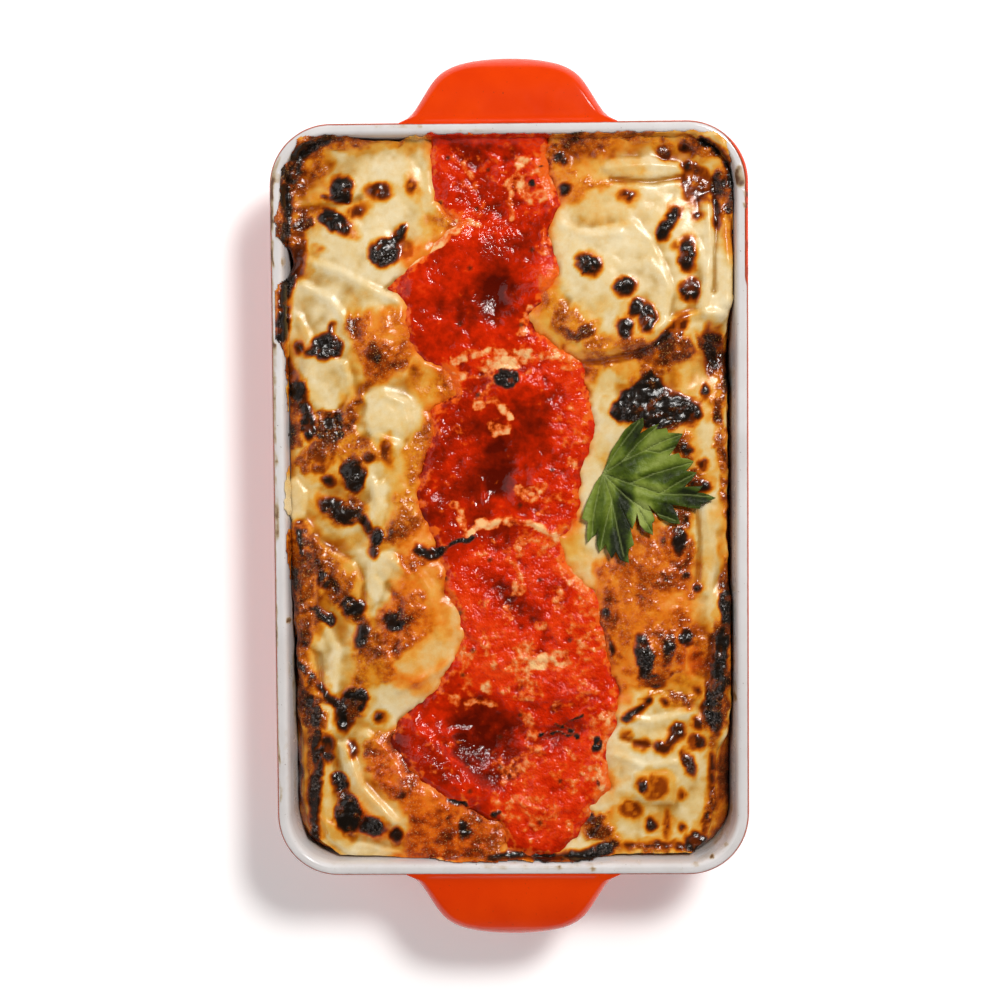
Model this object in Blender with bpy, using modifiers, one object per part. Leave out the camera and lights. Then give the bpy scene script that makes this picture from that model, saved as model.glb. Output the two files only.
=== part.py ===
"""Vegetarian lasagna, baked and served in a two-handled stoneware dish.

Four pieces: the glazed dish with its two ears, the baked block of pasta and white sauce,
the band of tomato sauce that lies in a shallow channel down its middle, and the leaf of
flat parsley laid on top. Metres, +Z up. The origin is the middle of the dish's foot. The
dish is long in Y, and X runs across it.
"""

import math
from collections import namedtuple

import bmesh
import bpy
from mathutils import Vector, geometry, noise

# Dish
RIM_WIDTH = 0.190
RIM_LENGTH = 0.300
DISH_HEIGHT = 0.060
WALL = 0.0048
FLOOR = 0.0065
TAPER = 0.0070  # how far each wall leans in between rim and foot
CORNER_RADIUS = 0.0245
CORNER_STEPS = 7
FOOT_RADIUS = 0.008
FLOOR_FILLET = 0.006
FILLET_MIDDLE = 1 - math.sqrt(0.5)  # where the fillet's middle line lies, as a share of its radius
LIP_ROUND = 0.0019

# Ears, one on each short side: half of the outline as (across, out from the rim)
EAR_OUTLINE = (
    (0.0440, -0.0030),
    (0.0400, 0.0020),
    (0.0345, 0.0110),
    (0.0265, 0.0193),
    (0.0130, 0.0237),
    (0.0000, 0.0245),
)
EAR_THICK = 0.0090
EAR_EDGE = 0.0030  # radius of the ear's rounded edge
EAR_BELOW_RIM = 0.0022
EAR_SAG = 0.0045  # how much lower the ear's outer edge lies than its root
EAR_CUTS = (0.003, 0.008, 0.013, 0.018)  # where the ear can bend

# Baked block
FOOD_TOP = 0.0520
DOME = 0.0006
CLEARANCE = 0.0005  # between the block and the dish
BLOCK_CORNER = 0.0200
COLUMNS = 36
STRAIGHT_ROWS = 50
CORNER_ROWS = 5
SHOULDER = 0.0013  # the top's outermost line lies this much lower
SIDE_REACH = 0.030  # depth at which a shrunken side meets the wall
SIDE_DEPTHS = (0.004, 0.012, 0.022)
BASE_LEVELS = (
    FLOOR + FLOOR_FILLET + CLEARANCE,
    FLOOR + FLOOR_FILLET * FILLET_MIDDLE + CLEARANCE,
    FLOOR + CLEARANCE,
)

# Tomato sauce
PIECE_GAP = 0.0003
SAUCE_DEPTH = 0.0022
SAUCE_PROUD = 0.0008
SAUCE_SHORE = 0.0045  # width of the slope at the channel's edge
SAUCE_LEFT = -0.056
SAUCE_RIGHT = 0.048

# Parsley leaf
STEM = (0.0364, 0.0088)
LEAF_THICK = 0.0005
LEAF_LIFT = 0.0016
LEAF_GRID = 0.0036

# How far the baked block has shrunk from each wall: (place along the wall, gap)
LEFT_GAP = (
    (-0.150, 0.0120), (-0.135, 0.0080), (-0.110, 0.0052), (-0.080, 0.0038), (-0.045, 0.0025),
    (-0.030, 0.0008), (-0.010, 0.0012), (-0.005, 0.0005), (0.085, 0.0003), (0.090, 0.0020),
    (0.099, 0.0025), (0.104, 0.0002), (0.150, 0.0002),
)
RIGHT_GAP = (
    (-0.150, 0.0140), (-0.135, 0.0115), (-0.120, 0.0090), (-0.098, 0.0055), (-0.090, 0.0015),
    (-0.041, 0.0015), (-0.035, 0.0040), (0.000, 0.0042), (0.045, 0.0045), (0.060, 0.0055),
    (0.070, 0.0040), (0.078, 0.0003), (0.150, 0.0002),
)
FAR_GAP = (
    (-0.090, 0.0002), (-0.061, 0.0008), (-0.055, 0.0035), (-0.045, 0.0038), (-0.038, 0.0010),
    (-0.030, 0.0002), (0.090, 0.0002),
)
NEAR_GAP = (
    (-0.090, 0.0120), (-0.070, 0.0055), (-0.060, 0.0040), (-0.045, 0.0035), (-0.035, 0.0010),
    (0.030, 0.0002), (0.040, 0.0025), (0.050, 0.0045), (0.075, 0.0045), (0.090, 0.0100),
)

# A hump is highest in its middle; a high power makes it a flat plateau with steep edges
Hump = namedtuple("Hump", "x y across along turn height power")
HUMPS = {
    "white sauce, far left": Hump(-0.0590, 0.0980, 0.018, 0.036, 0, 0.0015, 1),
    "white sauce, far right": Hump(0.0480, 0.0960, 0.037, 0.045, 0, 0.0026, 4),
    "white sauce, left": Hump(-0.0750, 0.0580, 0.018, 0.024, 0, 0.0012, 1),
    "white pillow, left": Hump(-0.0470, 0.0280, 0.013, 0.014, 0, 0.0020, 1),
    "white sauce, near right": Hump(0.0570, -0.0955, 0.026, 0.026, 0, 0.0010, 2),
    "golden hump, left": Hump(-0.0525, 0.0635, 0.0135, 0.015, -30, 0.0042, 1.5),
    "brown hump, left": Hump(-0.0780, 0.0180, 0.013, 0.012, 0, 0.0020, 1),
    "grainy hump, left": Hump(-0.0455, -0.0095, 0.012, 0.012, 0, 0.0025, 1),
    "yellow hump, left": Hump(-0.0390, -0.0435, 0.019, 0.022, 0, 0.0030, 1),
    "orange hump, left": Hump(-0.0470, -0.0690, 0.018, 0.012, 0, 0.0020, 1),
    "great hump, near left": Hump(-0.0350, -0.1250, 0.027, 0.019, -35, 0.0040, 1.5),
    "grainy hump, right": Hump(0.0570, -0.0435, 0.018, 0.029, 0, 0.0034, 1.5),
    "charred hump, right": Hump(0.0570, 0.0350, 0.018, 0.011, 0, 0.0015, 1),
    "brown ridge, right": Hump(0.0680, 0.0630, 0.010, 0.011, 0, 0.0020, 1),
    "brown patch, near right": Hump(0.0570, -0.1155, 0.009, 0.006, 0, 0.0012, 2),
    "pit behind the lip": Hump(0.0805, 0.0580, 0.005, 0.009, 0, -0.0040, 1),
    "trough of the sauce": Hump(0.0030, 0.0, 0.038, 0.150, 0, -0.0022, 2),
    "sauce lobe, far": Hump(-0.0090, 0.0825, 0.032, 0.027, 0, 0.0016, 4),
    "sauce dimple, far": Hump(-0.0065, 0.0815, 0.005, 0.007, 0, -0.0022, 1),
    "sauce hollow, middle": Hump(-0.0050, 0.0110, 0.006, 0.011, 0, -0.0022, 1),
    "sauce crown, middle": Hump(0.0030, -0.0415, 0.027, 0.028, 0, 0.0016, 1),
    "sauce furrow": Hump(0.0000, -0.0405, 0.003, 0.009, 50, -0.0015, 1),
    "sauce hollow, near": Hump(-0.0090, -0.0995, 0.014, 0.017, 0, -0.0030, 1),
    "charred slit": Hump(0.0215, -0.0935, 0.009, 0.0030, 5, -0.0036, 1),
}

# Scorched blisters: (x, y, across, along, turn)
BLISTERS = (
    (-0.0680, 0.1232, 0.0050, 0.0045, 0), (-0.0685, 0.1095, 0.0075, 0.0045, -35),
    (-0.0510, 0.0970, 0.0060, 0.0060, 0), (-0.0750, 0.0610, 0.0070, 0.0060, 30),
    (-0.0640, 0.0095, 0.0070, 0.0050, 0), (-0.0530, 0.0195, 0.0060, 0.0060, 0),
    (-0.0690, -0.0050, 0.0090, 0.0045, -20), (-0.0670, -0.0440, 0.0060, 0.0050, 0),
    (-0.0610, -0.0535, 0.0040, 0.0090, 0), (-0.0670, -0.1120, 0.0060, 0.0050, 0),
    (-0.0670, -0.1260, 0.0060, 0.0090, 0), (-0.0560, -0.1315, 0.0060, 0.0040, 0),
    (0.0305, 0.0925, 0.0055, 0.0055, 0), (0.0445, 0.0840, 0.0045, 0.0045, 0),
    (0.0500, 0.0750, 0.0040, 0.0040, 0), (0.0550, 0.0710, 0.0040, 0.0045, 0),
    (0.0455, 0.0675, 0.0045, 0.0045, 0), (0.0255, 0.0690, 0.0075, 0.0065, 0),
    (0.0630, 0.1100, 0.0070, 0.0045, 45), (0.0710, 0.0975, 0.0060, 0.0065, 0),
    (0.0710, 0.0820, 0.0040, 0.0045, 0), (0.0660, -0.0180, 0.0040, 0.0055, 0),
    (0.0545, -0.0635, 0.0035, 0.0060, 0), (0.0625, -0.0635, 0.0035, 0.0060, 0),
    (0.0610, -0.1000, 0.0050, 0.0040, 40), (0.0720, -0.1095, 0.0035, 0.0045, 0),
    (-0.0025, 0.0470, 0.0055, 0.0055, 0),
)
BLISTER_HEIGHT = 0.0016
BLISTER_POWER = 2

# A ridge follows a line of points: crusts against the wall, folds and wrinkles
Ridge = namedtuple("Ridge", "points width height")
RIDGES = {
    "crust, far left corner": Ridge(
        ((-0.088, 0.131), (-0.085, 0.135), (-0.0775, 0.140), (-0.071, 0.141), (-0.061, 0.1435)),
        0.0036, 0.0036,
    ),
    "crust, far left": Ridge(((-0.0905, 0.128), (-0.0905, 0.104)), 0.0032, 0.0038),
    "crisp edge, left": Ridge(((-0.0895, 0.0865), (-0.091, 0.0645)), 0.0030, 0.0034),
    "sheet edge, left": Ridge(((-0.0855, 0.060), (-0.085, 0.022)), 0.0030, 0.0015),
    "sheet edge, middle left": Ridge(
        ((-0.0865, -0.013), (-0.0835, -0.0255), (-0.0815, -0.0415), (-0.082, -0.0575)),
        0.0042, 0.0034,
    ),
    "sheet edge, near left": Ridge(
        ((-0.085, -0.0675), (-0.076, -0.0815), (-0.077, -0.1055), (-0.0775, -0.1355)),
        0.0034, 0.0030,
    ),
    "crust, far right corner": Ridge(
        ((0.0775, 0.141), (0.085, 0.1345), (0.088, 0.1245), (0.0875, 0.1165)), 0.0034, 0.0042,
    ),
    "lip, right": Ridge(
        ((0.080, 0.1125), (0.084, 0.0945), (0.085, 0.0785), (0.081, 0.071)), 0.0042, 0.0024,
    ),
    "crust, right": Ridge(
        ((0.084, -0.0415), (0.0855, -0.0615), (0.085, -0.0815), (0.084, -0.0935)), 0.0032, 0.0034,
    ),
    "crust, near": Ridge(((-0.009, -0.1425), (0.011, -0.1445), (0.030, -0.144)), 0.0032, 0.0018),
    "white streak": Ridge(((-0.021, 0.109), (-0.033, 0.100), (-0.043, 0.0925)), 0.0026, 0.0020),
    "sauce arc": Ridge(
        ((-0.013, -0.0145), (-0.003, -0.0095), (0.013, -0.013), (0.020, -0.0195)), 0.0026, 0.0012,
    ),
    "sauce loop": Ridge(((0.003, 0.045), (0.008, 0.0420), (0.0145, 0.0340)), 0.0026, 0.0014),
    "wrinkle, upper": Ridge(((-0.045, -0.0955), (-0.029, -0.1055), (-0.0135, -0.1155)), 0.003, 0.0016),
    "wrinkle, lower": Ridge(((-0.040, -0.1050), (-0.024, -0.1150), (-0.008, -0.1220)), 0.003, 0.0012),
}

ROLL_SIZE = 0.026  # the sheets' slow rolling, across and in height
ROLL_HEIGHT = 0.0010

# Shore of the tomato sauce, clockwise from its far left end
SAUCE_OUTLINE = (
    (-0.0340, 0.1435), (-0.0328, 0.1324), (-0.0324, 0.1184), (-0.0264, 0.1096), (-0.0328, 0.0984),
    (-0.0408, 0.0912), (-0.0500, 0.0832), (-0.0440, 0.0760), (-0.0404, 0.0644), (-0.0360, 0.0536),
    (-0.0260, 0.0496), (-0.0240, 0.0404), (-0.0344, 0.0324), (-0.0328, 0.0164), (-0.0384, 0.0044),
    (-0.0352, -0.0096), (-0.0288, -0.0224), (-0.0268, -0.0348), (-0.0212, -0.0488),
    (-0.0228, -0.0636), (-0.0320, -0.0776), (-0.0448, -0.0888), (-0.0492, -0.0976),
    (-0.0400, -0.1096), (-0.0248, -0.1204), (-0.0128, -0.1264), (-0.0044, -0.1310),
    (0.0000, -0.1395), (0.0152, -0.1415), (0.0252, -0.1368), (0.0320, -0.1250), (0.0400, -0.1176),
    (0.0376, -0.1064), (0.0416, -0.0936), (0.0416, -0.0776), (0.0376, -0.0596), (0.0356, -0.0416),
    (0.0248, -0.0316), (0.0200, -0.0176), (0.0264, -0.0096), (0.0276, 0.0084), (0.0336, 0.0264),
    (0.0300, 0.0444), (0.0284, 0.0552), (0.0160, 0.0624), (0.0064, 0.0712), (0.0160, 0.0832),
    (0.0184, 0.0936), (0.0140, 0.1056), (0.0200, 0.1164), (0.0144, 0.1304), (0.0152, 0.1435),
)

# The leaf's teeth and notches from its stem, anticlockwise, before it is laid down
LEAF_OUTLINE = (
    (-0.0012, -0.0020), (-0.0044, -0.0072), (-0.0076, -0.0132), (-0.0088, -0.0188),
    (-0.0060, -0.0200), (-0.0056, -0.0276), (-0.0020, -0.0228), (-0.0024, -0.0288),
    (-0.0012, -0.0320), (0.0012, -0.0284), (0.0036, -0.0344), (0.0052, -0.0308),
    (0.0072, -0.0344), (0.0104, -0.0360), (0.0100, -0.0308), (0.0122, -0.0288),
    (0.0104, -0.0268), (0.0116, -0.0248), (0.0092, -0.0180), (0.0078, -0.0112),
    (0.0108, -0.0170), (0.0128, -0.0222), (0.0136, -0.0160), (0.0160, -0.0220),
    (0.0200, -0.0240), (0.0192, -0.0196), (0.0208, -0.0184), (0.0180, -0.0124),
    (0.0216, -0.0164), (0.0260, -0.0192), (0.0308, -0.0200), (0.0292, -0.0152),
    (0.0276, -0.0124), (0.0340, -0.0136), (0.0388, -0.0140), (0.0388, -0.0120),
    (0.0456, -0.0100), (0.0376, -0.0076), (0.0400, -0.0050), (0.0324, -0.0052),
    (0.0376, 0.0004), (0.0332, 0.0012), (0.0364, 0.0050), (0.0316, 0.0060),
    (0.0304, 0.0084), (0.0252, 0.0072), (0.0292, 0.0108), (0.0320, 0.0162),
    (0.0264, 0.0166), (0.0256, 0.0184), (0.0212, 0.0172), (0.0224, 0.0202),
    (0.0188, 0.0188), (0.0152, 0.0164), (0.0160, 0.0220), (0.0116, 0.0196),
    (0.0076, 0.0152), (0.0036, 0.0088), (0.0012, 0.0024),
)


def clear_scene():
    for obj in list(bpy.data.objects):
        bpy.data.objects.remove(obj, do_unlink=True)


def new_collection(name):
    collection = bpy.data.collections.new(name)
    bpy.context.scene.collection.children.link(collection)
    return collection


def principled(name, colour, roughness, metallic=0.0):
    material = bpy.data.materials.new(name)
    material.use_nodes = True
    shader = material.node_tree.nodes["Principled BSDF"]
    shader.inputs["Base Color"].default_value = (*colour, 1.0)
    shader.inputs["Roughness"].default_value = roughness
    shader.inputs["Metallic"].default_value = metallic
    return material


def object_from(bm, name, collection, material=None):
    mesh = bpy.data.meshes.new(name)
    bm.to_mesh(mesh)
    bm.free()
    mesh.shade_smooth()
    mesh.set_sharp_from_angle(angle=math.radians(40))
    obj = bpy.data.objects.new(name, mesh)
    collection.objects.link(obj)
    if material:
        mesh.materials.append(material)
    return obj


def helper(obj):
    obj.hide_render = True
    obj.display_type = "WIRE"
    return obj


def smoothstep(t):
    t = min(max(t, 0.0), 1.0)
    return t * t * (3.0 - 2.0 * t)


def along(knots, place):
    """The value at a place, eased from knot to knot."""
    for (start, first), (end, last) in zip(knots, knots[1:]):
        if place <= end:
            return first + (last - first) * smoothstep((place - start) / (end - start))
    return knots[-1][1]


def rounded_through(points, steps):
    """A closed smooth line through the points, with so many steps from one to the next."""
    line = []
    count = len(points)
    for index in range(count):
        before, start, end, after = (Vector(points[(index + k) % count]) for k in (-1, 0, 1, 2))
        for step in range(steps):
            t = step / steps
            line.append(
                0.5 * (2 * start + (end - before) * t
                       + (2 * before - 5 * start + 4 * end - after) * t ** 2
                       + (3 * start - before - 3 * end + after) * t ** 3)
            )
    return line


def curve_as_mesh(name, curve, collection):
    """The curve as a mesh with its caps welded on."""
    draft = bpy.data.objects.new(name + "_draft", curve)
    collection.objects.link(draft)
    graph = bpy.context.evaluated_depsgraph_get()
    bm = bmesh.new()
    bm.from_mesh(bpy.data.meshes.new_from_object(draft.evaluated_get(graph)))
    bpy.data.objects.remove(draft, do_unlink=True)
    bmesh.ops.remove_doubles(bm, verts=bm.verts, dist=1e-6)
    bmesh.ops.recalc_face_normals(bm, faces=bm.faces)
    return bm


# Dish


def faces_at(bm, height, up):
    return [f for f in bm.faces if f.normal.z * up > 0.99 and abs(f.calc_center_median().z - height) < 1e-6]


def dish_shell():
    """A tapered block with round corners, its top face set in and pushed down as the hollow."""
    bm = bmesh.new()
    bmesh.ops.create_cube(bm, size=1.0)
    for vert in bm.verts:
        vert.co.x *= RIM_WIDTH
        vert.co.y *= RIM_LENGTH
        vert.co.z = DISH_HEIGHT if vert.co.z > 0 else 0.0
    uprights = [e for e in bm.edges if abs(e.verts[0].co.z - e.verts[1].co.z) > 0.5 * DISH_HEIGHT]
    bmesh.ops.bevel(
        bm, geom=uprights, offset=CORNER_RADIUS, segments=CORNER_STEPS, profile=0.5, affect="EDGES",
    )
    for vert in bm.verts:
        if vert.co.z < 0.5 * DISH_HEIGHT:
            vert.co.x *= 1 - 2 * TAPER / RIM_WIDTH
            vert.co.y *= 1 - 2 * TAPER / RIM_LENGTH
    bm.normal_update()
    foot = faces_at(bm, 0.0, -1)[0]
    bmesh.ops.bevel(bm, geom=list(foot.edges), offset=FOOT_RADIUS, segments=3, profile=0.5, affect="EDGES")
    bm.normal_update()
    top = faces_at(bm, DISH_HEIGHT, 1)[0]
    bmesh.ops.inset_region(bm, faces=[top], thickness=WALL, depth=0.0, use_even_offset=True)
    hollow = bmesh.ops.extrude_discrete_faces(bm, faces=[top])["faces"][0]
    lean = TAPER * (DISH_HEIGHT - FLOOR) / DISH_HEIGHT
    for vert in hollow.verts:
        vert.co.x *= 1 - 2 * lean / (RIM_WIDTH - 2 * WALL)
        vert.co.y *= 1 - 2 * lean / (RIM_LENGTH - 2 * WALL)
        vert.co.z = FLOOR
    bmesh.ops.bevel(bm, geom=list(hollow.edges), offset=FLOOR_FILLET, segments=2, profile=0.5, affect="EDGES")
    bm.normal_update()
    lip = {e for f in faces_at(bm, DISH_HEIGHT, 1) for e in f.edges}
    sharp = [e for e in lip if e.calc_face_angle(0.0) > math.radians(60)]
    bmesh.ops.bevel(bm, geom=sharp, offset=LIP_ROUND, segments=3, profile=0.5, affect="EDGES")
    return bm


def ear_mesh(collection):
    """One ear at the far end: a slab with round edges that bends down away from the rim."""
    half = list(EAR_OUTLINE)
    outline = half + [(-across, out) for across, out in reversed(half[:-1])]
    curve = bpy.data.curves.new("ear", "CURVE")
    curve.dimensions = "2D"
    curve.fill_mode = "BOTH"
    curve.extrude = EAR_THICK / 2 - EAR_EDGE
    curve.bevel_depth = EAR_EDGE
    curve.bevel_resolution = 1
    curve.offset = -EAR_EDGE
    curve.resolution_u = 4
    spline = curve.splines.new("BEZIER")
    spline.bezier_points.add(len(outline) - 1)
    for point, (across, out) in zip(spline.bezier_points, outline):
        point.co = (across, out, 0.0)
        point.handle_left_type = point.handle_right_type = "AUTO"
    spline.use_cyclic_u = True
    bm = curve_as_mesh("ear", curve, collection)
    for out in EAR_CUTS:
        bmesh.ops.bisect_plane(
            bm, geom=bm.verts[:] + bm.edges[:] + bm.faces[:], plane_co=(0, out, 0), plane_no=(0, 1, 0),
        )
    bmesh.ops.remove_doubles(bm, verts=bm.verts, dist=2e-5)
    reach = EAR_OUTLINE[-1][1]
    for vert in bm.verts:
        out = max(vert.co.y, 0.0)
        vert.co.z += DISH_HEIGHT - EAR_BELOW_RIM - EAR_THICK / 2 - EAR_SAG * (out / reach) ** 2
        vert.co.y += RIM_LENGTH / 2
    return bm


def make_dish(parts, cutters):
    glaze = principled("glazed stoneware", (0.86, 0.11, 0.012), 0.12)
    dish = object_from(dish_shell(), "dish", parts, glaze)
    for name, turn in (("ear_far", 0.0), ("ear_near", math.pi)):
        ear = helper(object_from(ear_mesh(cutters), name, cutters))
        ear.rotation_euler.z = turn
        union = dish.modifiers.new(name, "BOOLEAN")
        union.operation = "UNION"
        union.solver = "EXACT"
        union.object = ear
    return dish


# Form of the food's top


def hump_height(hump, x, y):
    turn = math.radians(hump.turn)
    dx = x - hump.x
    dy = y - hump.y
    across = (dx * math.cos(turn) + dy * math.sin(turn)) / hump.across
    lengthways = (dy * math.cos(turn) - dx * math.sin(turn)) / hump.along
    return hump.height * math.exp(-(across ** 2 + lengthways ** 2) ** hump.power)


def distance_to_line(x, y, points):
    """Distance to an open line through the points."""
    place = Vector((x, y))
    nearest = 1.0
    for start, end in zip(points, points[1:]):
        start = Vector(start)
        run = Vector(end) - start
        share = min(max((place - start).dot(run) / run.length_squared, 0.0), 1.0)
        nearest = min(nearest, (place - start - run * share).length)
    return nearest


BLISTER_HUMPS = [Hump(*blister, BLISTER_HEIGHT, BLISTER_POWER) for blister in BLISTERS]
SAUCE_SHORELINE = rounded_through(SAUCE_OUTLINE, 2)


def top_height(x, y):
    """Height of the finished top at a place, sauce included."""
    height = FOOD_TOP + DOME * (1 - (2 * x / RIM_WIDTH) ** 2) * (1 - (2 * y / RIM_LENGTH) ** 2)
    height += ROLL_HEIGHT * noise.noise(Vector((x / ROLL_SIZE, y / ROLL_SIZE, 0.0)))
    height += sum(hump_height(hump, x, y) for hump in HUMPS.values())
    height += sum(hump_height(hump, x, y) for hump in BLISTER_HUMPS)
    for ridge in RIDGES.values():
        height += ridge.height * math.exp(-(distance_to_line(x, y, ridge.points) / ridge.width) ** 2)
    return height


def inside(x, y, outline):
    """Whether a place is inside a closed outline, by counting the sides to its right."""
    odd = False
    for (ax, ay), (bx, by) in zip(outline, outline[1:] + outline[:1]):
        if (ay > y) != (by > y) and x < ax + (bx - ax) * (y - ay) / (by - ay):
            odd = not odd
    return odd


def channel_depth(x, y):
    """How deep the tomato sauce's channel is at a place."""
    shore = distance_to_line(x, y, SAUCE_SHORELINE + SAUCE_SHORELINE[:1])
    offshore = shore if inside(x, y, SAUCE_SHORELINE) else -shore
    return SAUCE_DEPTH * smoothstep(offshore / SAUCE_SHORE + 0.5)


# Baked block


def cavity_inset(z):
    """How far the dish's inner face is in from the rim's outer edge at a height."""
    inset = WALL + TAPER * (DISH_HEIGHT - z) / DISH_HEIGHT
    rise = (z - FLOOR) / FLOOR_FILLET
    if rise < FILLET_MIDDLE:
        inset += FLOOR_FILLET * (1 - rise * (1 - FILLET_MIDDLE) / FILLET_MIDDLE)
    elif rise < 1:
        inset += FLOOR_FILLET * FILLET_MIDDLE * (1 - rise) / (1 - FILLET_MIDDLE)
    return inset


def row_place(row):
    """A row of the grid as (share of the straight side, angle round the corner, which end)."""
    last = STRAIGHT_ROWS + 2 * CORNER_ROWS
    if row < CORNER_ROWS:
        return 1.0, math.radians(90) * (1 - row / CORNER_ROWS), -1
    if row > last - CORNER_ROWS:
        return 1.0, math.radians(90) * (1 - (last - row) / CORNER_ROWS), 1
    share = 2 * (row - CORNER_ROWS) / STRAIGHT_ROWS - 1
    return abs(share), 0.0, 1 if share >= 0 else -1


def footprint(u, row, inset):
    """Place of a grid point on a rounded rectangle that lies inset from the rim's outer edge."""
    share, angle, end = row_place(row)
    straight = RIM_LENGTH / 2 - inset - BLOCK_CORNER
    half = RIM_WIDTH / 2 - inset - BLOCK_CORNER * (1 - math.cos(angle))
    return u * half, end * (share * straight + BLOCK_CORNER * math.sin(angle))


def at_wall(u, row, z):
    """Place of a grid point where the block meets the dish at a height."""
    return Vector(footprint(u, row, cavity_inset(z) + CLEARANCE))


def shrunk_footprint(u, row, z):
    """The same, with the gaps that shrinking left at the walls."""
    x, y = at_wall(u, row, z)
    side_gap = along(RIGHT_GAP if u > 0 else LEFT_GAP, y)
    end_gap = along(FAR_GAP if y > 0 else NEAR_GAP, x)
    half_length = RIM_LENGTH / 2 - WALL
    x -= math.copysign(side_gap * abs(u) ** 6, u)
    y -= math.copysign(end_gap * abs(y / half_length) ** 14, y)
    return Vector((x, y))


def food_grid():
    """A triangulated grid over the food's top, and its points as (column share, row)."""
    bm = bmesh.new()
    rows = STRAIGHT_ROWS + 2 * CORNER_ROWS
    bmesh.ops.create_grid(bm, x_segments=COLUMNS, y_segments=rows, size=1.0)
    bmesh.ops.triangulate(bm, faces=bm.faces, quad_method="FIXED")
    places = {}
    for vert in bm.verts:
        row = round((vert.co.y + 1) / 2 * rows)
        places[vert] = (vert.co.x, row)
        x, y = shrunk_footprint(vert.co.x, row, FOOD_TOP)
        x, y = shrunk_footprint(vert.co.x, row, top_height(x, y))
        low = SHOULDER if vert.is_boundary else 0.0
        vert.co = (x, y, top_height(x, y) - channel_depth(x, y) - low)
    return bm, places


def make_lasagna(parts):
    """The grid as a top, with sides drawn down the walls ring by ring, and a flat base."""
    bm, places = food_grid()
    uppers = [(vert.co.copy(), vert.co.copy(), *places[vert]) for vert in bm.verts if vert.is_boundary]
    ring = [edge for edge in bm.edges if edge.is_boundary]
    for depth in (*SIDE_DEPTHS, *BASE_LEVELS):
        extruded = bmesh.ops.extrude_edge_only(bm, edges=ring)["geom"]
        ring = [item for item in extruded if isinstance(item, bmesh.types.BMEdge)]
        lowers = []
        for vert in {vert for edge in ring for vert in edge.verts}:
            _, top, u, row = min(uppers, key=lambda upper: (upper[0] - vert.co).length_squared)
            z = depth if depth in BASE_LEVELS else top.z - depth
            gap = top.xy - at_wall(u, row, top.z)
            vert.co.xy = at_wall(u, row, z) + gap * (1 - smoothstep((top.z - z) / SIDE_REACH))
            vert.co.z = z
            lowers.append((vert.co.copy(), top, u, row))
        uppers = lowers
    bmesh.ops.contextual_create(bm, geom=ring)
    bmesh.ops.recalc_face_normals(bm, faces=bm.faces)
    baked = principled("baked white sauce and pasta", (0.80, 0.58, 0.27), 0.38)
    return object_from(bm, "lasagna", parts, baked)


# Tomato sauce


def make_tomato_sauce(parts, cutters):
    """A slab over the same grid, cut to the sauce's shore."""
    bm, _ = food_grid()
    far = [f for f in bm.faces if not SAUCE_LEFT < f.calc_center_median().x < SAUCE_RIGHT]
    bmesh.ops.delete(bm, geom=far, context="FACES")
    for vert in bm.verts:
        vert.co.z += PIECE_GAP
    raised = bmesh.ops.extrude_face_region(bm, geom=bm.faces[:], use_keep_orig=True)["geom"]
    for vert in raised:
        if isinstance(vert, bmesh.types.BMVert):
            vert.co.z = top_height(vert.co.x, vert.co.y) + SAUCE_PROUD
    bmesh.ops.recalc_face_normals(bm, faces=bm.faces)
    tomato = principled("tomato sauce", (0.62, 0.035, 0.010), 0.30)
    sauce = object_from(bm, "tomato_sauce", parts, tomato)

    curve = bpy.data.curves.new("sauce_shore", "CURVE")
    curve.dimensions = "2D"
    curve.fill_mode = "BOTH"
    curve.extrude = DISH_HEIGHT
    spline = curve.splines.new("POLY")
    spline.points.add(len(SAUCE_SHORELINE) - 1)
    for point, place in zip(spline.points, SAUCE_SHORELINE):
        point.co = (place.x, place.y, 0.0, 1.0)
    spline.use_cyclic_u = True
    shore = helper(object_from(curve_as_mesh("sauce_shore", curve, cutters), "sauce_shore", cutters))
    cut = sauce.modifiers.new("shore", "BOOLEAN")
    cut.operation = "INTERSECT"
    cut.solver = "EXACT"
    cut.object = shore
    return sauce


# Parsley leaf


def leaf_rest(x, y):
    """Height of the leaf's underside: it lies on the highest points under it."""
    spread = 0.0045
    nearby = [top_height(x, y)]
    for turn in range(6):
        angle = math.radians(60 * turn)
        nearby.append(top_height(x + spread * math.cos(angle), y + spread * math.sin(angle)))
    return 0.5 * max(nearby) + 0.5 * sum(nearby) / len(nearby)


def leaf_wave(x, y):
    """The leaf's own waves: veins low, the blade between them arched, the tips lifted."""
    reach = math.hypot(x, y)
    angle = math.atan2(y, x)
    pleats = 0.0007 * math.cos(7 * angle + 0.6) * smoothstep(reach / 0.015)
    return pleats + 0.0012 * smoothstep((reach - 0.026) / 0.02)


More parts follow.
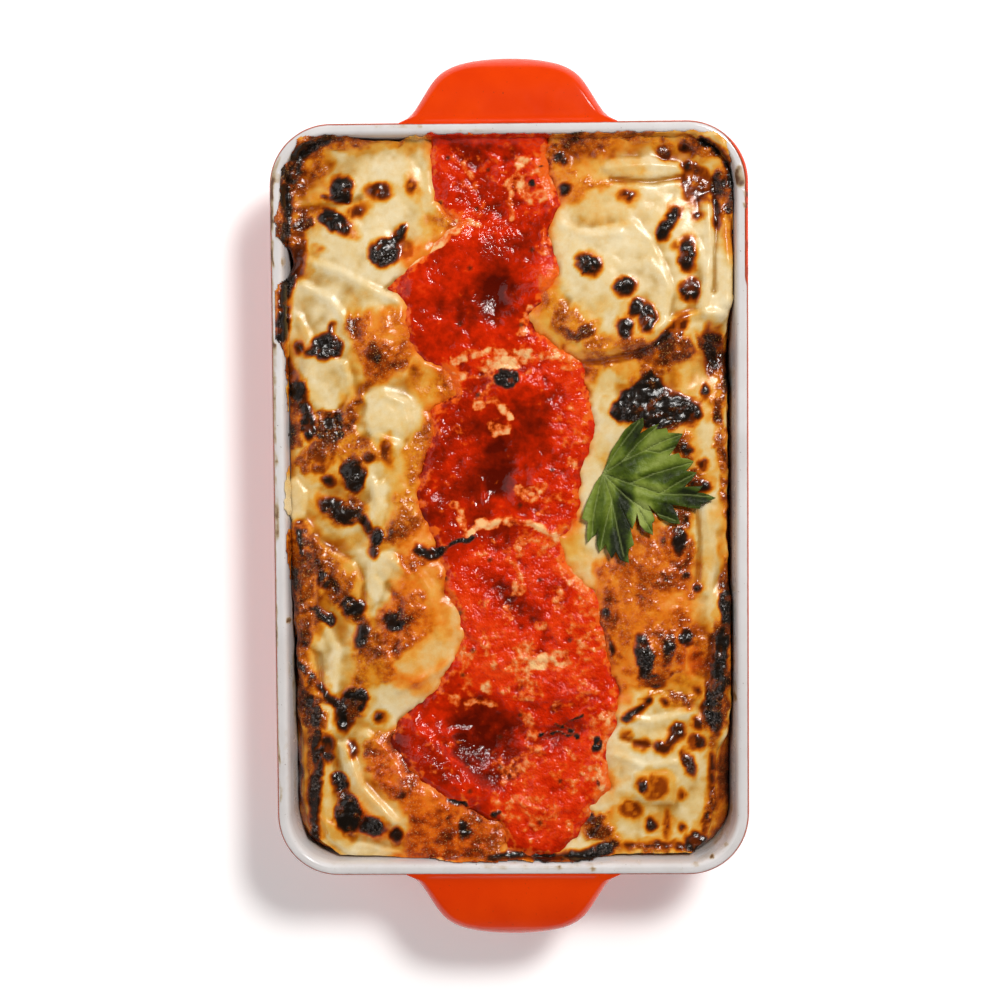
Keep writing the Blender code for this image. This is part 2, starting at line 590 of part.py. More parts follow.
def make_leaf(parts):
    """The outline filled with triangles round a grid of inner points, then given its thickness."""
    outline = [Vector(point) for point in LEAF_OUTLINE]
    steps = [step * LEAF_GRID for step in range(-11, 14)]
    rim = LEAF_OUTLINE + LEAF_OUTLINE[:1]
    inner = [
        Vector((x, y)) for x in steps for y in steps
        if inside(x, y, LEAF_OUTLINE) and distance_to_line(x, y, rim) > 0.3 * LEAF_GRID
    ]
    points, _, faces, *_ = geometry.delaunay_2d_cdt(outline + inner, [], [range(len(outline))], 1, 1e-6)
    bm = bmesh.new()
    verts = []
    for x, y in points:
        place_x = STEM[0] + x
        place_y = STEM[1] + y
        z = leaf_rest(place_x, place_y) + LEAF_LIFT + leaf_wave(x, y)
        verts.append(bm.verts.new((place_x, place_y, z)))
    for face in faces:
        bm.faces.new([verts[index] for index in face])
    bmesh.ops.recalc_face_normals(bm, faces=bm.faces)
    leaf = object_from(bm, "parsley_leaf", parts, principled("parsley", (0.07, 0.17, 0.03), 0.45))
    thicken = leaf.modifiers.new("blade", "SOLIDIFY")
    thicken.thickness = LEAF_THICK
    thicken.offset = 0.0
    return leaf


def main():
    clear_scene()
    parts = new_collection("vegetarian lasagna")
    cutters = new_collection("cutters")
    make_dish(parts, cutters)
    make_lasagna(parts)
    make_tomato_sauce(parts, cutters)
    make_leaf(parts)


main()
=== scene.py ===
"""Looks of the vegetarian lasagna in its two-handled dish.

The browning of the food follows named places, given as pixels of the photograph. Each is
laid on the food's top where the camera sees it, and kept as a value at the mesh's points.
"""

import math
from collections import namedtuple

import bpy
import numpy as np
from mathutils import Matrix, Vector, geometry
from mathutils.bvhtree import BVHTree


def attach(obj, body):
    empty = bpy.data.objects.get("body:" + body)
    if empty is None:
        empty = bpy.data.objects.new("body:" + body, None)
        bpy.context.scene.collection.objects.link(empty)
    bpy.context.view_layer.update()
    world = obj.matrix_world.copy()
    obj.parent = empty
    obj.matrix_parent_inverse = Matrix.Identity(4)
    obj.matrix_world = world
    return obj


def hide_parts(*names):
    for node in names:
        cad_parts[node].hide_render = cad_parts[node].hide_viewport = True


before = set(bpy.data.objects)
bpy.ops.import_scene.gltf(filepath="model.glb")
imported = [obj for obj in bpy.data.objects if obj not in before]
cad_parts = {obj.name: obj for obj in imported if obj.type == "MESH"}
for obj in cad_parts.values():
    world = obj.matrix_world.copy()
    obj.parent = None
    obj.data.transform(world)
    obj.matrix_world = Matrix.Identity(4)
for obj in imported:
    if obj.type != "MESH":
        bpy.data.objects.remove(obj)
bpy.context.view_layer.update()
MM = 0.001

# Camera, as fitted to the rim's outline
CAMERA_AT = Vector((0.0200, 0.0543, 1.0000))
CAMERA_TO = Vector((-0.0042, 0.0001, 0.0600))
CAMERA_ROLL = -0.0076
FOCAL_PIXELS = 2359.6
PHOTO_SIDE = 1000

# Dish, as in the solids
RIM_WIDTH = 0.190
RIM_LENGTH = 0.300
DISH_HEIGHT = 0.060
WALL = 0.0048
FLOOR = 0.0065
TAPER = 0.0070
CORNER_RADIUS = 0.0245
CORNER_CHANGE = 0.028  # how much the corner's radius shrinks for each metre down
FOOT_RADIUS = 0.008
FLOOR_RADIUS = 0.006
LIP_ROUND = 0.0019
NEAR_SHIFT = 0.0015  # how much nearer the near wall stands than the solid's
PERIMETER_STEPS = 784

# Ears, measured out from the rim's end
EAR_REACH = 0.0262
EAR_ROOT = -0.0034
EAR_CENTRE = 0.010
EAR_THICK = 0.0090
EAR_EDGE = 0.0042  # how far in the rounding of its edge begins
EAR_BELOW_RIM = 0.0022
EAR_SAG = 0.0045

# Food
FOOD_COLUMNS = 226
FOOD_ROWS = 370
FOOD_CORNER = 0.020
SAUCE_STEP = 0.0008
SAUCE_THICK = 0.0012
CLEARANCE = 0.0004
EDGE_HEIGHT = 0.052
BANK_HEIGHT = 0.0565
CHANNEL = 0.0022  # how far the baked top lies below the solid's under the sauce
CRUST_STEPS = 22
CRUST_TURNS = 1500
CRUST_THICK = 0.00018
CRUST_LOWEST = 0.0530
LEAF_THICK = 0.0005
LEAF_STEM = (603, 474)

NOISE_SIDE = 256


def clear_selection():
    bpy.ops.object.select_all(action="DESELECT")


def smooth(t):
    """From 0 to 1 with a soft start and end."""
    t = np.clip(t, 0.0, 1.0)
    return t * t * (3 - 2 * t)


def cloud(x, y, size, seed, octaves=1):
    """A smooth random field from -1 to 1 with lumps of the size."""
    total = np.zeros_like(x)
    weight = 1.0
    for octave in range(octaves):
        random = np.random.default_rng(seed + 101 * octave)
        lattice = random.uniform(-1, 1, (NOISE_SIDE, NOISE_SIDE))
        u = x / size + 37.1
        v = y / size + 53.7
        i = np.floor(u).astype(int)
        j = np.floor(v).astype(int)
        s = smooth(u - i)
        t = smooth(v - j)
        left = i % NOISE_SIDE
        right = (i + 1) % NOISE_SIDE
        below = j % NOISE_SIDE
        above = (j + 1) % NOISE_SIDE
        low = lattice[left, below] * (1 - s) + lattice[right, below] * s
        high = lattice[left, above] * (1 - s) + lattice[right, above] * s
        total += weight * (low * (1 - t) + high * t)
        weight *= 0.5
        size *= 0.47
    return total


def grains(x, y, size, seed):
    """Distance to the nearest of scattered points, as a share of their spacing."""
    offsets = np.random.default_rng(seed).uniform(0, 1, (NOISE_SIDE, NOISE_SIDE, 2))
    u = x / size + 31.0
    v = y / size + 17.0
    i = np.floor(u).astype(int)
    j = np.floor(v).astype(int)
    nearest = np.full_like(u, 9.0)
    for di in (-1, 0, 1):
        for dj in (-1, 0, 1):
            point = offsets[(i + di) % NOISE_SIDE, (j + dj) % NOISE_SIDE]
            away_u = i + di + point[..., 0] - u
            away_v = j + dj + point[..., 1] - v
            nearest = np.minimum(nearest, np.hypot(away_u, away_v))
    return nearest


# Camera


def make_camera():
    """The camera at the photograph's place; gives back its turn."""
    data = bpy.data.cameras.new("camera")
    data.sensor_width = 36.0
    data.lens = 36.0 * FOCAL_PIXELS / PHOTO_SIDE
    data.clip_start = 0.05
    data.clip_end = 20.0
    camera = bpy.data.objects.new("camera", data)
    bpy.context.scene.collection.objects.link(camera)
    back = (CAMERA_AT - CAMERA_TO).normalized()
    right = Vector((0, 1, 0)).cross(back).normalized()
    up = back.cross(right)
    turned_right = math.cos(CAMERA_ROLL) * right + math.sin(CAMERA_ROLL) * up
    turned_up = math.cos(CAMERA_ROLL) * up - math.sin(CAMERA_ROLL) * right
    turn = Matrix((turned_right, turned_up, back)).transposed()
    camera.matrix_world = Matrix.Translation(CAMERA_AT) @ turn.to_4x4()
    bpy.context.scene.camera = camera
    return np.array(turn)


VIEW = make_camera()


def pixel_of(x, y, z):
    """Where points of the object show in the photograph."""
    away = np.stack([x - CAMERA_AT.x, y - CAMERA_AT.y, z - CAMERA_AT.z], -1) @ VIEW
    half = PHOTO_SIDE / 2
    px = half - FOCAL_PIXELS * away[..., 0] / away[..., 2]
    py = half + FOCAL_PIXELS * away[..., 1] / away[..., 2]
    return px, py


def place_of(px, py, z):
    """Where a pixel's line of sight meets a height."""
    half = PHOTO_SIDE / 2
    px = np.asarray(px, float)
    py = np.asarray(py, float)
    sight = np.stack([px - half, half - py, np.full_like(px, -FOCAL_PIXELS)], -1) @ VIEW.T
    reach = (z - CAMERA_AT.z) / sight[..., 2]
    return CAMERA_AT.x + sight[..., 0] * reach, CAMERA_AT.y + sight[..., 1] * reach


# Marks on the food, in the photograph's pixels: round spots, streaks along a line, and closed patches

Spot = namedtuple("Spot", "x y across along turn level")
Streak = namedtuple("Streak", "points width level")
Patch = namedtuple("Patch", "points level")


def spot_depth(spot, px, py):
    """How far inside a spot's edge a place is, negative outside."""
    turn = math.radians(spot.turn)
    dx = px - spot.x
    dy = py - spot.y
    across = (dx * math.cos(turn) + dy * math.sin(turn)) / spot.across
    lengthways = (dy * math.cos(turn) - dx * math.sin(turn)) / spot.along
    return (1 - np.hypot(across, lengthways)) * min(spot.across, spot.along)


def line_distance(points, px, py, closed=False):
    """Distance to a line through the points."""
    points = list(points) + [points[0]] if closed else points
    nearest = np.full_like(px, 1e6)
    for (ax, ay), (bx, by) in zip(points, points[1:]):
        run = (bx - ax) ** 2 + (by - ay) ** 2
        share = np.clip(((px - ax) * (bx - ax) + (py - ay) * (by - ay)) / run, 0, 1)
        away_x = px - ax - share * (bx - ax)
        away_y = py - ay - share * (by - ay)
        nearest = np.minimum(nearest, np.hypot(away_x, away_y))
    return nearest


def inside(points, px, py):
    """Whether a place is inside a closed line, by counting the sides to its right."""
    odd = np.zeros(px.shape, bool)
    for (ax, ay), (bx, by) in zip(points, list(points[1:]) + [points[0]]):
        if ay == by:
            continue
        odd ^= ((ay > py) != (by > py)) & (px < ax + (bx - ax) * (py - ay) / (by - ay))
    return odd


def mark_depth(mark, px, py):
    """How far inside any mark's edge a place is, negative outside."""
    if isinstance(mark, Spot):
        return spot_depth(mark, px, py)
    if isinstance(mark, Patch):
        distance = line_distance(mark.points, px, py, closed=True)
        return np.where(inside(mark.points, px, py), distance, -distance)
    return mark.width / 2 - line_distance(mark.points, px, py)


def strongest(marks, px, py, halo):
    """The strongest mark at a place: full inside its edge and gone a halo's width outside."""
    field = np.zeros_like(px)
    for mark in marks:
        field = np.maximum(field, mark.level * smooth(1 + mark_depth(mark, px, py) / halo))
    return field


def ridge(streak, px, py):
    """A rounded ridge along a streak: 1 on its line and gone beyond its sides."""
    distance = line_distance(streak.points, px, py)
    return np.exp(-((2 * distance / streak.width) ** 2))


def wandered(place, px, py, seed):
    """The place moved about by clouds of three sizes, so that edges run unevenly."""
    place = place + 4.0 * cloud(px, py, 21, seed)
    place = place + 3.0 * cloud(px, py, 9, seed + 1)
    return place + 2.0 * cloud(px, py, 4.2, seed + 2)


def browned(marks, px, py):
    """Browning round the marks: pale at their edge, then brown, and full in their middle."""
    field = np.zeros_like(px)
    reach = 4.5 + 2.0 * cloud(px, py, 27, 70)
    span = 8.0 + 2.5 * cloud(px, py, 33, 71)
    for mark in marks:
        depth = mark_depth(mark, px, py)
        field = np.maximum(field, mark.level * np.clip((depth + reach) / span, 0, 1))
    return field


# Black and brown blisters and edges
SCORCHED = (
    # far left
    Spot(341, 188, 12, 11, 0, 1.0), Streak(((322, 195), (345, 199)), 7, 0.95),
    Spot(380, 192, 13, 8, 0, 0.72), Spot(410, 186, 6, 10, 0, 0.66), Spot(340, 223, 20, 9, 32, 1.0),
    Spot(357, 212, 12, 7, -20, 0.66), Spot(384, 253, 14, 13, 0, 1.0),
    Streak(((402, 228), (398, 237), (390, 246)), 8, 0.95), Spot(406, 251, 8, 11, 0, 0.46),
    Spot(320, 250, 8, 5, 0, 0.5), Streak(((291, 180), (296, 160), (307, 148), (325, 142)), 13, 1.0),
    Spot(313, 152, 9, 9, 0, 0.58), Streak(((325, 143), (340, 140), (355, 143)), 9, 0.66),
    Streak(((285, 190), (286, 214), (285, 238)), 11, 1.0), Spot(294, 250, 15, 26, 0, 0.64),
    # left
    Streak(((288, 278), (284, 308), (280, 338)), 13, 1.0), Spot(325, 346, 14, 14, 0, 1.0),
    Streak(((328, 342), (331, 323)), 6, 0.95), Spot(314, 350, 9, 6, 0, 0.95),
    Spot(300, 347, 3, 4, 0, 0.9), Streak(((295, 390), (303, 408), (309, 432)), 14, 1.0),
    Spot(328, 424, 11, 9, 0, 0.90), Streak(((287, 362), (300, 402)), 8, 0.62),
    Spot(321, 457, 16, 17, 0, 0.60), Spot(355, 473, 12, 17, 0, 0.96), Spot(370, 458, 9, 7, 0, 0.76),
    Spot(387, 449, 7, 16, 0, 0.64), Spot(330, 480, 6, 4, 0, 0.9), Spot(337, 510, 19, 10, 25, 0.95),
    Streak(((352, 506), (370, 530)), 7, 0.82), Spot(376, 536, 6, 8, 0, 1.0),
    Streak(((376, 541), (372, 555)), 5, 0.8),
    Streak(((300, 530), (309, 560), (304, 600), (306, 640)), 16, 0.64), Spot(326, 582, 7, 9, 0, 0.86),
    Streak(((298, 530), (303, 556)), 7, 0.95), Streak(((294, 570), (298, 610)), 7, 0.9),
    Streak(((310, 606), (322, 616), (330, 621)), 9, 1.0), Spot(352, 608, 14, 11, 0, 1.0),
    Spot(361, 635, 9, 14, 0, 0.95), Spot(395, 622, 11, 9, 0, 0.93), Spot(355, 700, 13, 12, 0, 1.0),
    Streak(((300, 665), (318, 686), (335, 703)), 9, 0.9),
    # near left
    Spot(342, 716, 9, 14, -10, 0.95), Spot(380, 717, 8, 6, 0, 0.88), Spot(327, 748, 8, 12, 0, 0.96),
    Spot(354, 750, 4, 7, 0, 0.9), Spot(339, 780, 10, 10, 0, 0.92), Spot(347, 816, 13, 20, 0, 1.0),
    Spot(372, 825, 14, 9, 0, 1.0), Spot(396, 833, 6, 8, 0, 0.92),
    Streak(((312, 700), (317, 740), (315, 790), (314, 838)), 11, 0.92), Spot(401, 795, 7, 5, 0, 0.78),
    Spot(448, 817, 5, 5, 0, 0.9), Spot(465, 828, 9, 12, 0, 0.95), Spot(497, 812, 7, 7, 0, 0.92),
    Streak(((450, 799), (463, 800), (475, 812), (480, 820)), 4, 0.95),
    Streak(((488, 858), (520, 856), (560, 859), (607, 850)), 11, 1.0),
    # far right
    Spot(557, 157, 12, 6, 40, 0.94), Spot(541, 166, 4, 4, 0, 0.9), Spot(530, 183, 5, 5, 0, 0.85),
    Spot(564, 190, 6, 8, 0, 0.92), Spot(664, 150, 6, 8, 0, 0.70), Spot(684, 145, 7, 6, 0, 0.70),
    Spot(627, 195, 10, 7, 0, 0.70), Streak(((703, 141), (722, 153), (733, 175), (731, 205)), 9, 1.0),
    Spot(719, 185, 8, 13, 0, 0.95), Spot(696, 186, 16, 20, 0, 0.60), Spot(689, 167, 6, 5, 0, 0.88),
    Spot(697, 215, 4, 3, 0, 0.9), Streak(((675, 211), (662, 231)), 14, 1.0),
    Spot(688, 252, 10, 17, 0, 1.0), Streak(((674, 246), (686, 250)), 7, 0.72),
    Streak(((716, 196), (717, 224)), 7, 0.84), Spot(588, 265, 13, 13, 0, 1.0),
    Spot(623, 286, 11, 10, 0, 1.0), Spot(637, 308, 8, 8, 0, 0.95), Spot(648, 318, 8, 12, 0, 0.95),
    Spot(626, 328, 9, 12, 0, 0.95), Spot(689, 291, 10, 10, 0, 0.96),
    Streak(((561, 331), (576, 340), (591, 332)), 6, 0.72),
    Streak(((684, 318), (673, 335), (660, 350)), 16, 0.70), Spot(676, 350, 20, 13, 0, 0.66),
    Spot(711, 348, 9, 24, 0, 0.80),
    # right
    Patch(((610, 414), (622, 392), (636, 378), (650, 367), (661, 374), (666, 388), (684, 397), (702, 400),
        (704, 414), (694, 428), (672, 424), (652, 430), (636, 420), (622, 424)), 1.0),
    Spot(706, 393, 6, 9, 0, 0.95), Spot(716, 414, 4, 4, 0, 0.9), Spot(506, 379, 14, 12, 0, 1.0),
    Spot(686, 449, 7, 9, 0, 0.92), Spot(703, 463, 6, 6, 0, 0.86), Spot(699, 484, 9, 6, 0, 0.96),
    Spot(686, 519, 4, 9, 0, 0.92), Spot(678, 543, 10, 15, 0, 0.96), Spot(661, 580, 11, 9, 0, 0.78),
    Spot(686, 577, 5, 5, 0, 0.86), Spot(697, 588, 5, 5, 0, 0.86), Spot(607, 613, 4, 9, 0, 0.9),
    Spot(612, 648, 5, 9, 0, 0.86), Spot(644, 656, 9, 21, -8, 0.98), Spot(669, 653, 8, 19, 8, 0.98),
    Spot(688, 638, 8, 9, 0, 0.96), Spot(656, 681, 11, 7, 0, 0.88),
    Streak(((725, 597), (727, 640)), 12, 1.0), Streak(((721, 640), (721, 668)), 15, 1.0),
    Streak(((717, 668), (718, 730)), 15, 1.0),
    Patch(((722, 602), (731, 602), (731, 640), (727, 700), (726, 726), (719, 735), (707, 724), (702, 708),
        (708, 688), (714, 660)), 1.0),
    # near right
    Streak(((648, 702), (636, 711), (625, 718)), 7, 0.92), Spot(666, 701, 5, 4, 0, 0.74),
    Spot(685, 703, 5, 4, 0, 0.76), Spot(697, 691, 5, 5, 0, 0.78), Spot(698, 722, 6, 6, 0, 0.74),
    Spot(677, 730, 8, 7, 0, 0.76), Streak(((677, 732), (664, 746)), 10, 0.70),
    Spot(661, 748, 8, 6, 0, 0.74), Spot(696, 742, 8, 7, 0, 0.78), Spot(690, 763, 6, 12, -20, 0.80),
    Streak(((682, 750), (688, 762)), 6, 0.68), Spot(640, 746, 8, 6, 0, 0.5), Spot(627, 734, 6, 6, 0, 0.5),
    Spot(655, 786, 15, 12, 0, 0.56), Spot(643, 785, 6, 7, 0, 0.84), Spot(631, 811, 14, 8, 0, 0.56),
    Spot(600, 825, 8, 6, 0, 0.86), Spot(652, 823, 7, 7, 0, 0.82), Spot(668, 823, 4, 12, 0, 0.86),
    Spot(683, 827, 5, 5, 0, 0.70), Spot(682, 793, 5, 5, 0, 0.70), Spot(697, 841, 12, 8, 0, 0.96),
    Spot(598, 745, 5, 9, 0, 0.86), Spot(598, 783, 3, 6, 0, 0.86),
    Streak(((612, 846), (680, 845)), 10, 0.68), Streak(((712, 752), (712, 800), (706, 832)), 7, 0.80),
    # on the sauce
    Streak(((472, 540), (450, 546), (430, 553), (420, 550)), 11, 1.0),
    Streak(((548, 722), (560, 727), (582, 716)), 6, 0.96),
    Streak(((541, 736), (558, 733), (576, 738)), 7, 0.96), Streak(((560, 727), (572, 733)), 8, 0.9),
)

# Wider brown areas, from golden brown to dark, uneven
BROWN = (
    Spot(313, 162, 22, 18, 0, 0.60), Streak(((330, 144), (365, 146), (398, 143)), 13, 0.52),
    Spot(312, 190, 26, 14, 0, 0.52), Spot(298, 186, 14, 20, 0, 0.56), Spot(300, 216, 13, 13, 0, 0.80),
    Patch(((286, 224), (302, 226), (308, 240), (318, 256), (309, 270), (300, 280), (292, 262),
        (288, 245)), 0.58),
    Streak(((298, 330), (288, 350), (292, 375), (298, 400)), 15, 0.58), Spot(352, 212, 17, 10, -15, 0.50),
    Streak(((290, 398), (296, 420), (290, 442)), 15, 0.80), Spot(330, 425, 14, 16, 0, 0.84),
    Patch(((336, 402), (352, 390), (364, 392), (362, 420), (354, 458), (342, 458), (336, 424)), 0.44),
    Spot(321, 460, 21, 21, 0, 0.60), Spot(377, 450, 15, 14, 0, 0.50), Spot(353, 472, 14, 15, 0, 0.56),
    Spot(322, 484, 18, 5, 10, 0.46), Spot(340, 508, 24, 17, 15, 0.62), Spot(352, 544, 12, 7, 0, 0.46),
    Spot(384, 533, 17, 16, 0, 0.66), Spot(396, 518, 16, 20, 0, 0.54),
    Patch(((290, 528), (304, 522), (316, 540), (334, 552), (352, 562), (362, 582), (358, 598), (338, 602),
        (322, 620), (316, 650), (296, 650), (290, 600)), 0.56),
    Spot(354, 615, 18, 26, 0, 0.60), Spot(398, 632, 18, 22, 0, 0.62), Spot(372, 640, 10, 24, 0, 0.50),
    Streak(((302, 630), (306, 660), (320, 690)), 18, 0.68), Spot(352, 702, 18, 14, 0, 0.62),
    Streak(((310, 700), (318, 740), (316, 790), (316, 838)), 15, 0.66), Spot(334, 748, 14, 13, 0, 0.56),
    Spot(342, 808, 15, 32, 0, 0.56), Spot(402, 798, 9, 18, 0, 0.50), Spot(470, 826, 16, 20, 0, 0.66),
    Streak(((402, 850), (450, 852), (490, 848)), 14, 0.52), Spot(436, 816, 20, 10, 0, 0.46),
    Streak(((296, 150), (312, 136), (345, 134)), 8, 0.80),
    Streak(((281, 162), (276, 200), (276, 238)), 8, 0.85), Spot(576, 138, 12, 9, 0, 0.66),
    Streak(((575, 134), (610, 133), (650, 131)), 6, 0.56), Spot(562, 190, 14, 22, 0, 0.60),
    Spot(560, 155, 15, 12, 0, 0.58), Spot(600, 212, 24, 8, 25, 0.46), Spot(628, 196, 16, 9, 0, 0.50),
    Spot(674, 147, 17, 12, 0, 0.58), Spot(696, 186, 20, 20, 0, 0.66),
    Streak(((703, 148), (722, 165), (728, 205)), 16, 0.72),
    Streak(((560, 330), (576, 340), (590, 334)), 7, 0.60), Spot(586, 328, 6, 7, 0, 0.60),
    Spot(638, 316, 19, 19, 0, 0.42), Streak(((690, 318), (668, 345), (640, 366)), 22, 0.60),
    Spot(664, 362, 24, 13, 0, 0.52), Streak(((704, 330), (712, 350), (716, 372)), 15, 0.78),
    Spot(650, 400, 38, 30, 0, 0.66), Spot(614, 408, 10, 12, 0, 0.54), Spot(708, 400, 10, 18, 0, 0.50),
    Spot(688, 446, 10, 14, 0, 0.58), Spot(700, 480, 11, 10, 0, 0.50), Spot(684, 520, 8, 18, 0, 0.56),
    Spot(678, 546, 14, 20, 0, 0.66), Spot(660, 578, 18, 14, 0, 0.60), Spot(690, 580, 12, 16, 0, 0.55),
    Spot(610, 630, 7, 32, 0, 0.62), Spot(662, 654, 24, 24, 0, 0.58),
    Streak(((724, 596), (722, 660), (716, 728)), 20, 0.66), Spot(670, 702, 20, 8, 0, 0.50),
    Spot(676, 738, 19, 14, -25, 0.50), Spot(696, 735, 10, 14, 0, 0.52), Spot(656, 786, 20, 16, 0, 0.56),
    Spot(630, 810, 20, 10, -10, 0.52), Spot(662, 822, 14, 10, 0, 0.54),
    Streak(((610, 842), (650, 846), (690, 838)), 12, 0.56),
    Streak(((712, 745), (712, 800), (704, 836)), 10, 0.62), Spot(594, 752, 10, 30, 0, 0.54),
    Spot(600, 826, 16, 12, 0, 0.66), Streak(((720, 330), (722, 460), (724, 590)), 6, 0.80),
)

# Golden and amber browning, grainy
GOLDEN = (
    # the narrow spot at (354, 338) darkens the hump's left edge: browning, and painted shade there
    Spot(380, 342, 31, 34, 0, 0.47), Spot(354, 338, 7, 22, 0, 0.62), Spot(371, 350, 6, 6, 0, 0.70),
    Spot(375, 384, 10, 9, 0, 0.42), Spot(352, 408, 10, 17, 0, 0.56), Spot(418, 428, 11, 42, 0, 0.40),
    Spot(401, 521, 18, 23, 0, 0.48), Spot(418, 612, 32, 54, 0, 0.46), Spot(378, 660, 16, 20, 0, 0.44),
    Spot(355, 674, 10, 16, 0, 0.42), Spot(434, 797, 72, 55, 0, 0.46), Spot(385, 770, 22, 30, 0, 0.50),
    Spot(470, 835, 30, 18, 0, 0.56), Spot(600, 178, 40, 42, 0, 0.42), Spot(590, 150, 30, 12, 0, 0.46),
    Spot(597, 454, 7, 11, 0, 0.42), Spot(650, 585, 48, 50, 0, 0.44), Spot(640, 640, 38, 46, 0, 0.46),
    Spot(708, 640, 12, 40, 0, 0.36), Spot(605, 345, 9, 5, 0, 0.46), Spot(603, 306, 6, 6, 0, 0.46),
    Spot(441, 385, 10, 24, 0, 0.38), Spot(576, 322, 18, 16, 0, 0.50), Spot(640, 358, 40, 14, 0, 0.50),
    Spot(614, 372, 18, 20, 0, 0.30), Spot(690, 378, 14, 14, 0, 0.44), Spot(304, 578, 20, 46, 0, 0.45),
    Spot(300, 690, 18, 30, 0, 0.45), Spot(634, 812, 22, 14, 0, 0.36), Spot(340, 160, 20, 14, 0, 0.34),
    Spot(700, 440, 14, 34, 0, 0.20), Spot(560, 318, 9, 15, 0, 0.44), Spot(709, 556, 6, 9, 0, 0.44),
    # the spot at (655, 232) darkens a shaded fold olive: painted shade
    Spot(716, 527, 3, 8, 0, 0.44), Spot(655, 232, 7, 22, 0, 0.30), Spot(380, 782, 16, 16, 0, 0.42),
)

# Clean white sauce, and a few pale patches on the golden areas that are painted highlights
WHITE = (
    Spot(372, 220, 42, 30, 0, 1), Spot(345, 275, 48, 32, 0, 1), Spot(318, 330, 26, 55, 0, 1),
    Spot(330, 380, 26, 30, 0, 0.8), Spot(390, 415, 24, 26, 0, 1), Spot(370, 170, 34, 18, 0, 1),
    Spot(640, 168, 40, 10, 0, 0.9), Spot(640, 255, 78, 72, 0, 1), Spot(690, 300, 40, 30, 0, 1),
    Spot(570, 250, 16, 30, 0, 0.9), Spot(375, 500, 9, 22, 0, 1), Spot(294, 500, 11, 20, 0, 0.9),
    Spot(382, 566, 10, 13, 0, 1), Spot(333, 655, 16, 34, 0, 0.9),
    Streak(((345, 745), (360, 785), (395, 818)), 16, 1), Spot(324, 788, 9, 34, 0, 1),
    Streak(((322, 820), (345, 846), (370, 851), (395, 846)), 9, 0.9), Spot(708, 550, 12, 50, 0, 0.9),
    Spot(655, 745, 48, 40, 0, 0.9), Spot(655, 812, 40, 30, 0, 0.9),
    Streak(((700, 750), (690, 800), (700, 832)), 12, 0.9),
    Streak(((690, 400), (708, 430), (704, 452)), 14, 0.8), Spot(602, 425, 9, 22, 0, 1),
    Spot(592, 485, 7, 24, 0, 1), Spot(612, 392, 14, 16, 0, 0.8), Spot(318, 488, 30, 12, 0, 0.9),
    Streak(((352, 528), (360, 560), (366, 600)), 10, 0.8),
    Streak(((386, 558), (378, 580), (372, 606)), 13, 1),
    Streak(((420, 160), (427, 185), (428, 205)), 6, 0.9), Spot(595, 800, 10, 8, 0, 0.8),
    Streak(((724, 740), (708, 770), (700, 800)), 8, 0.9), Spot(690, 385, 20, 12, 0, 0.8),
    Spot(622, 372, 12, 14, 0, 0.5), Spot(690, 394, 8, 4, 0, 0.8),
    # the streak from (404, 662) to (442, 640), the spot at (446, 612) and the streak from (428, 575) to
    # (436, 600) are painted highlights
    Streak(((404, 662), (424, 655), (442, 640)), 12, 0.8), Spot(446, 612, 8, 14, 0, 0.5),
    Streak(((428, 575), (436, 600)), 8, 0.5), Spot(330, 528, 12, 8, 0, 0.5),
    Spot(350, 556, 8, 16, 0, 0.6), Spot(566, 850, 9, 5, 0, 0.9), Spot(392, 705, 24, 13, 0, 0.9),
)

# Where tomato has coloured the white sauce
TINTED = (
    Spot(434, 797, 78, 62, 0, 0.9), Spot(645, 605, 52, 75, 0, 0.55), Spot(600, 185, 48, 50, 0, 0.30),
    Spot(425, 620, 38, 80, 0, 0.62), Spot(385, 345, 28, 34, 0, 0.40), Spot(406, 251, 9, 12, 0, 0.9),
    Spot(575, 700, 45, 40, 0, 0.7), Spot(604, 700, 20, 90, 0, 0.6), Spot(693, 661, 8, 7, 0, 1.0),
)

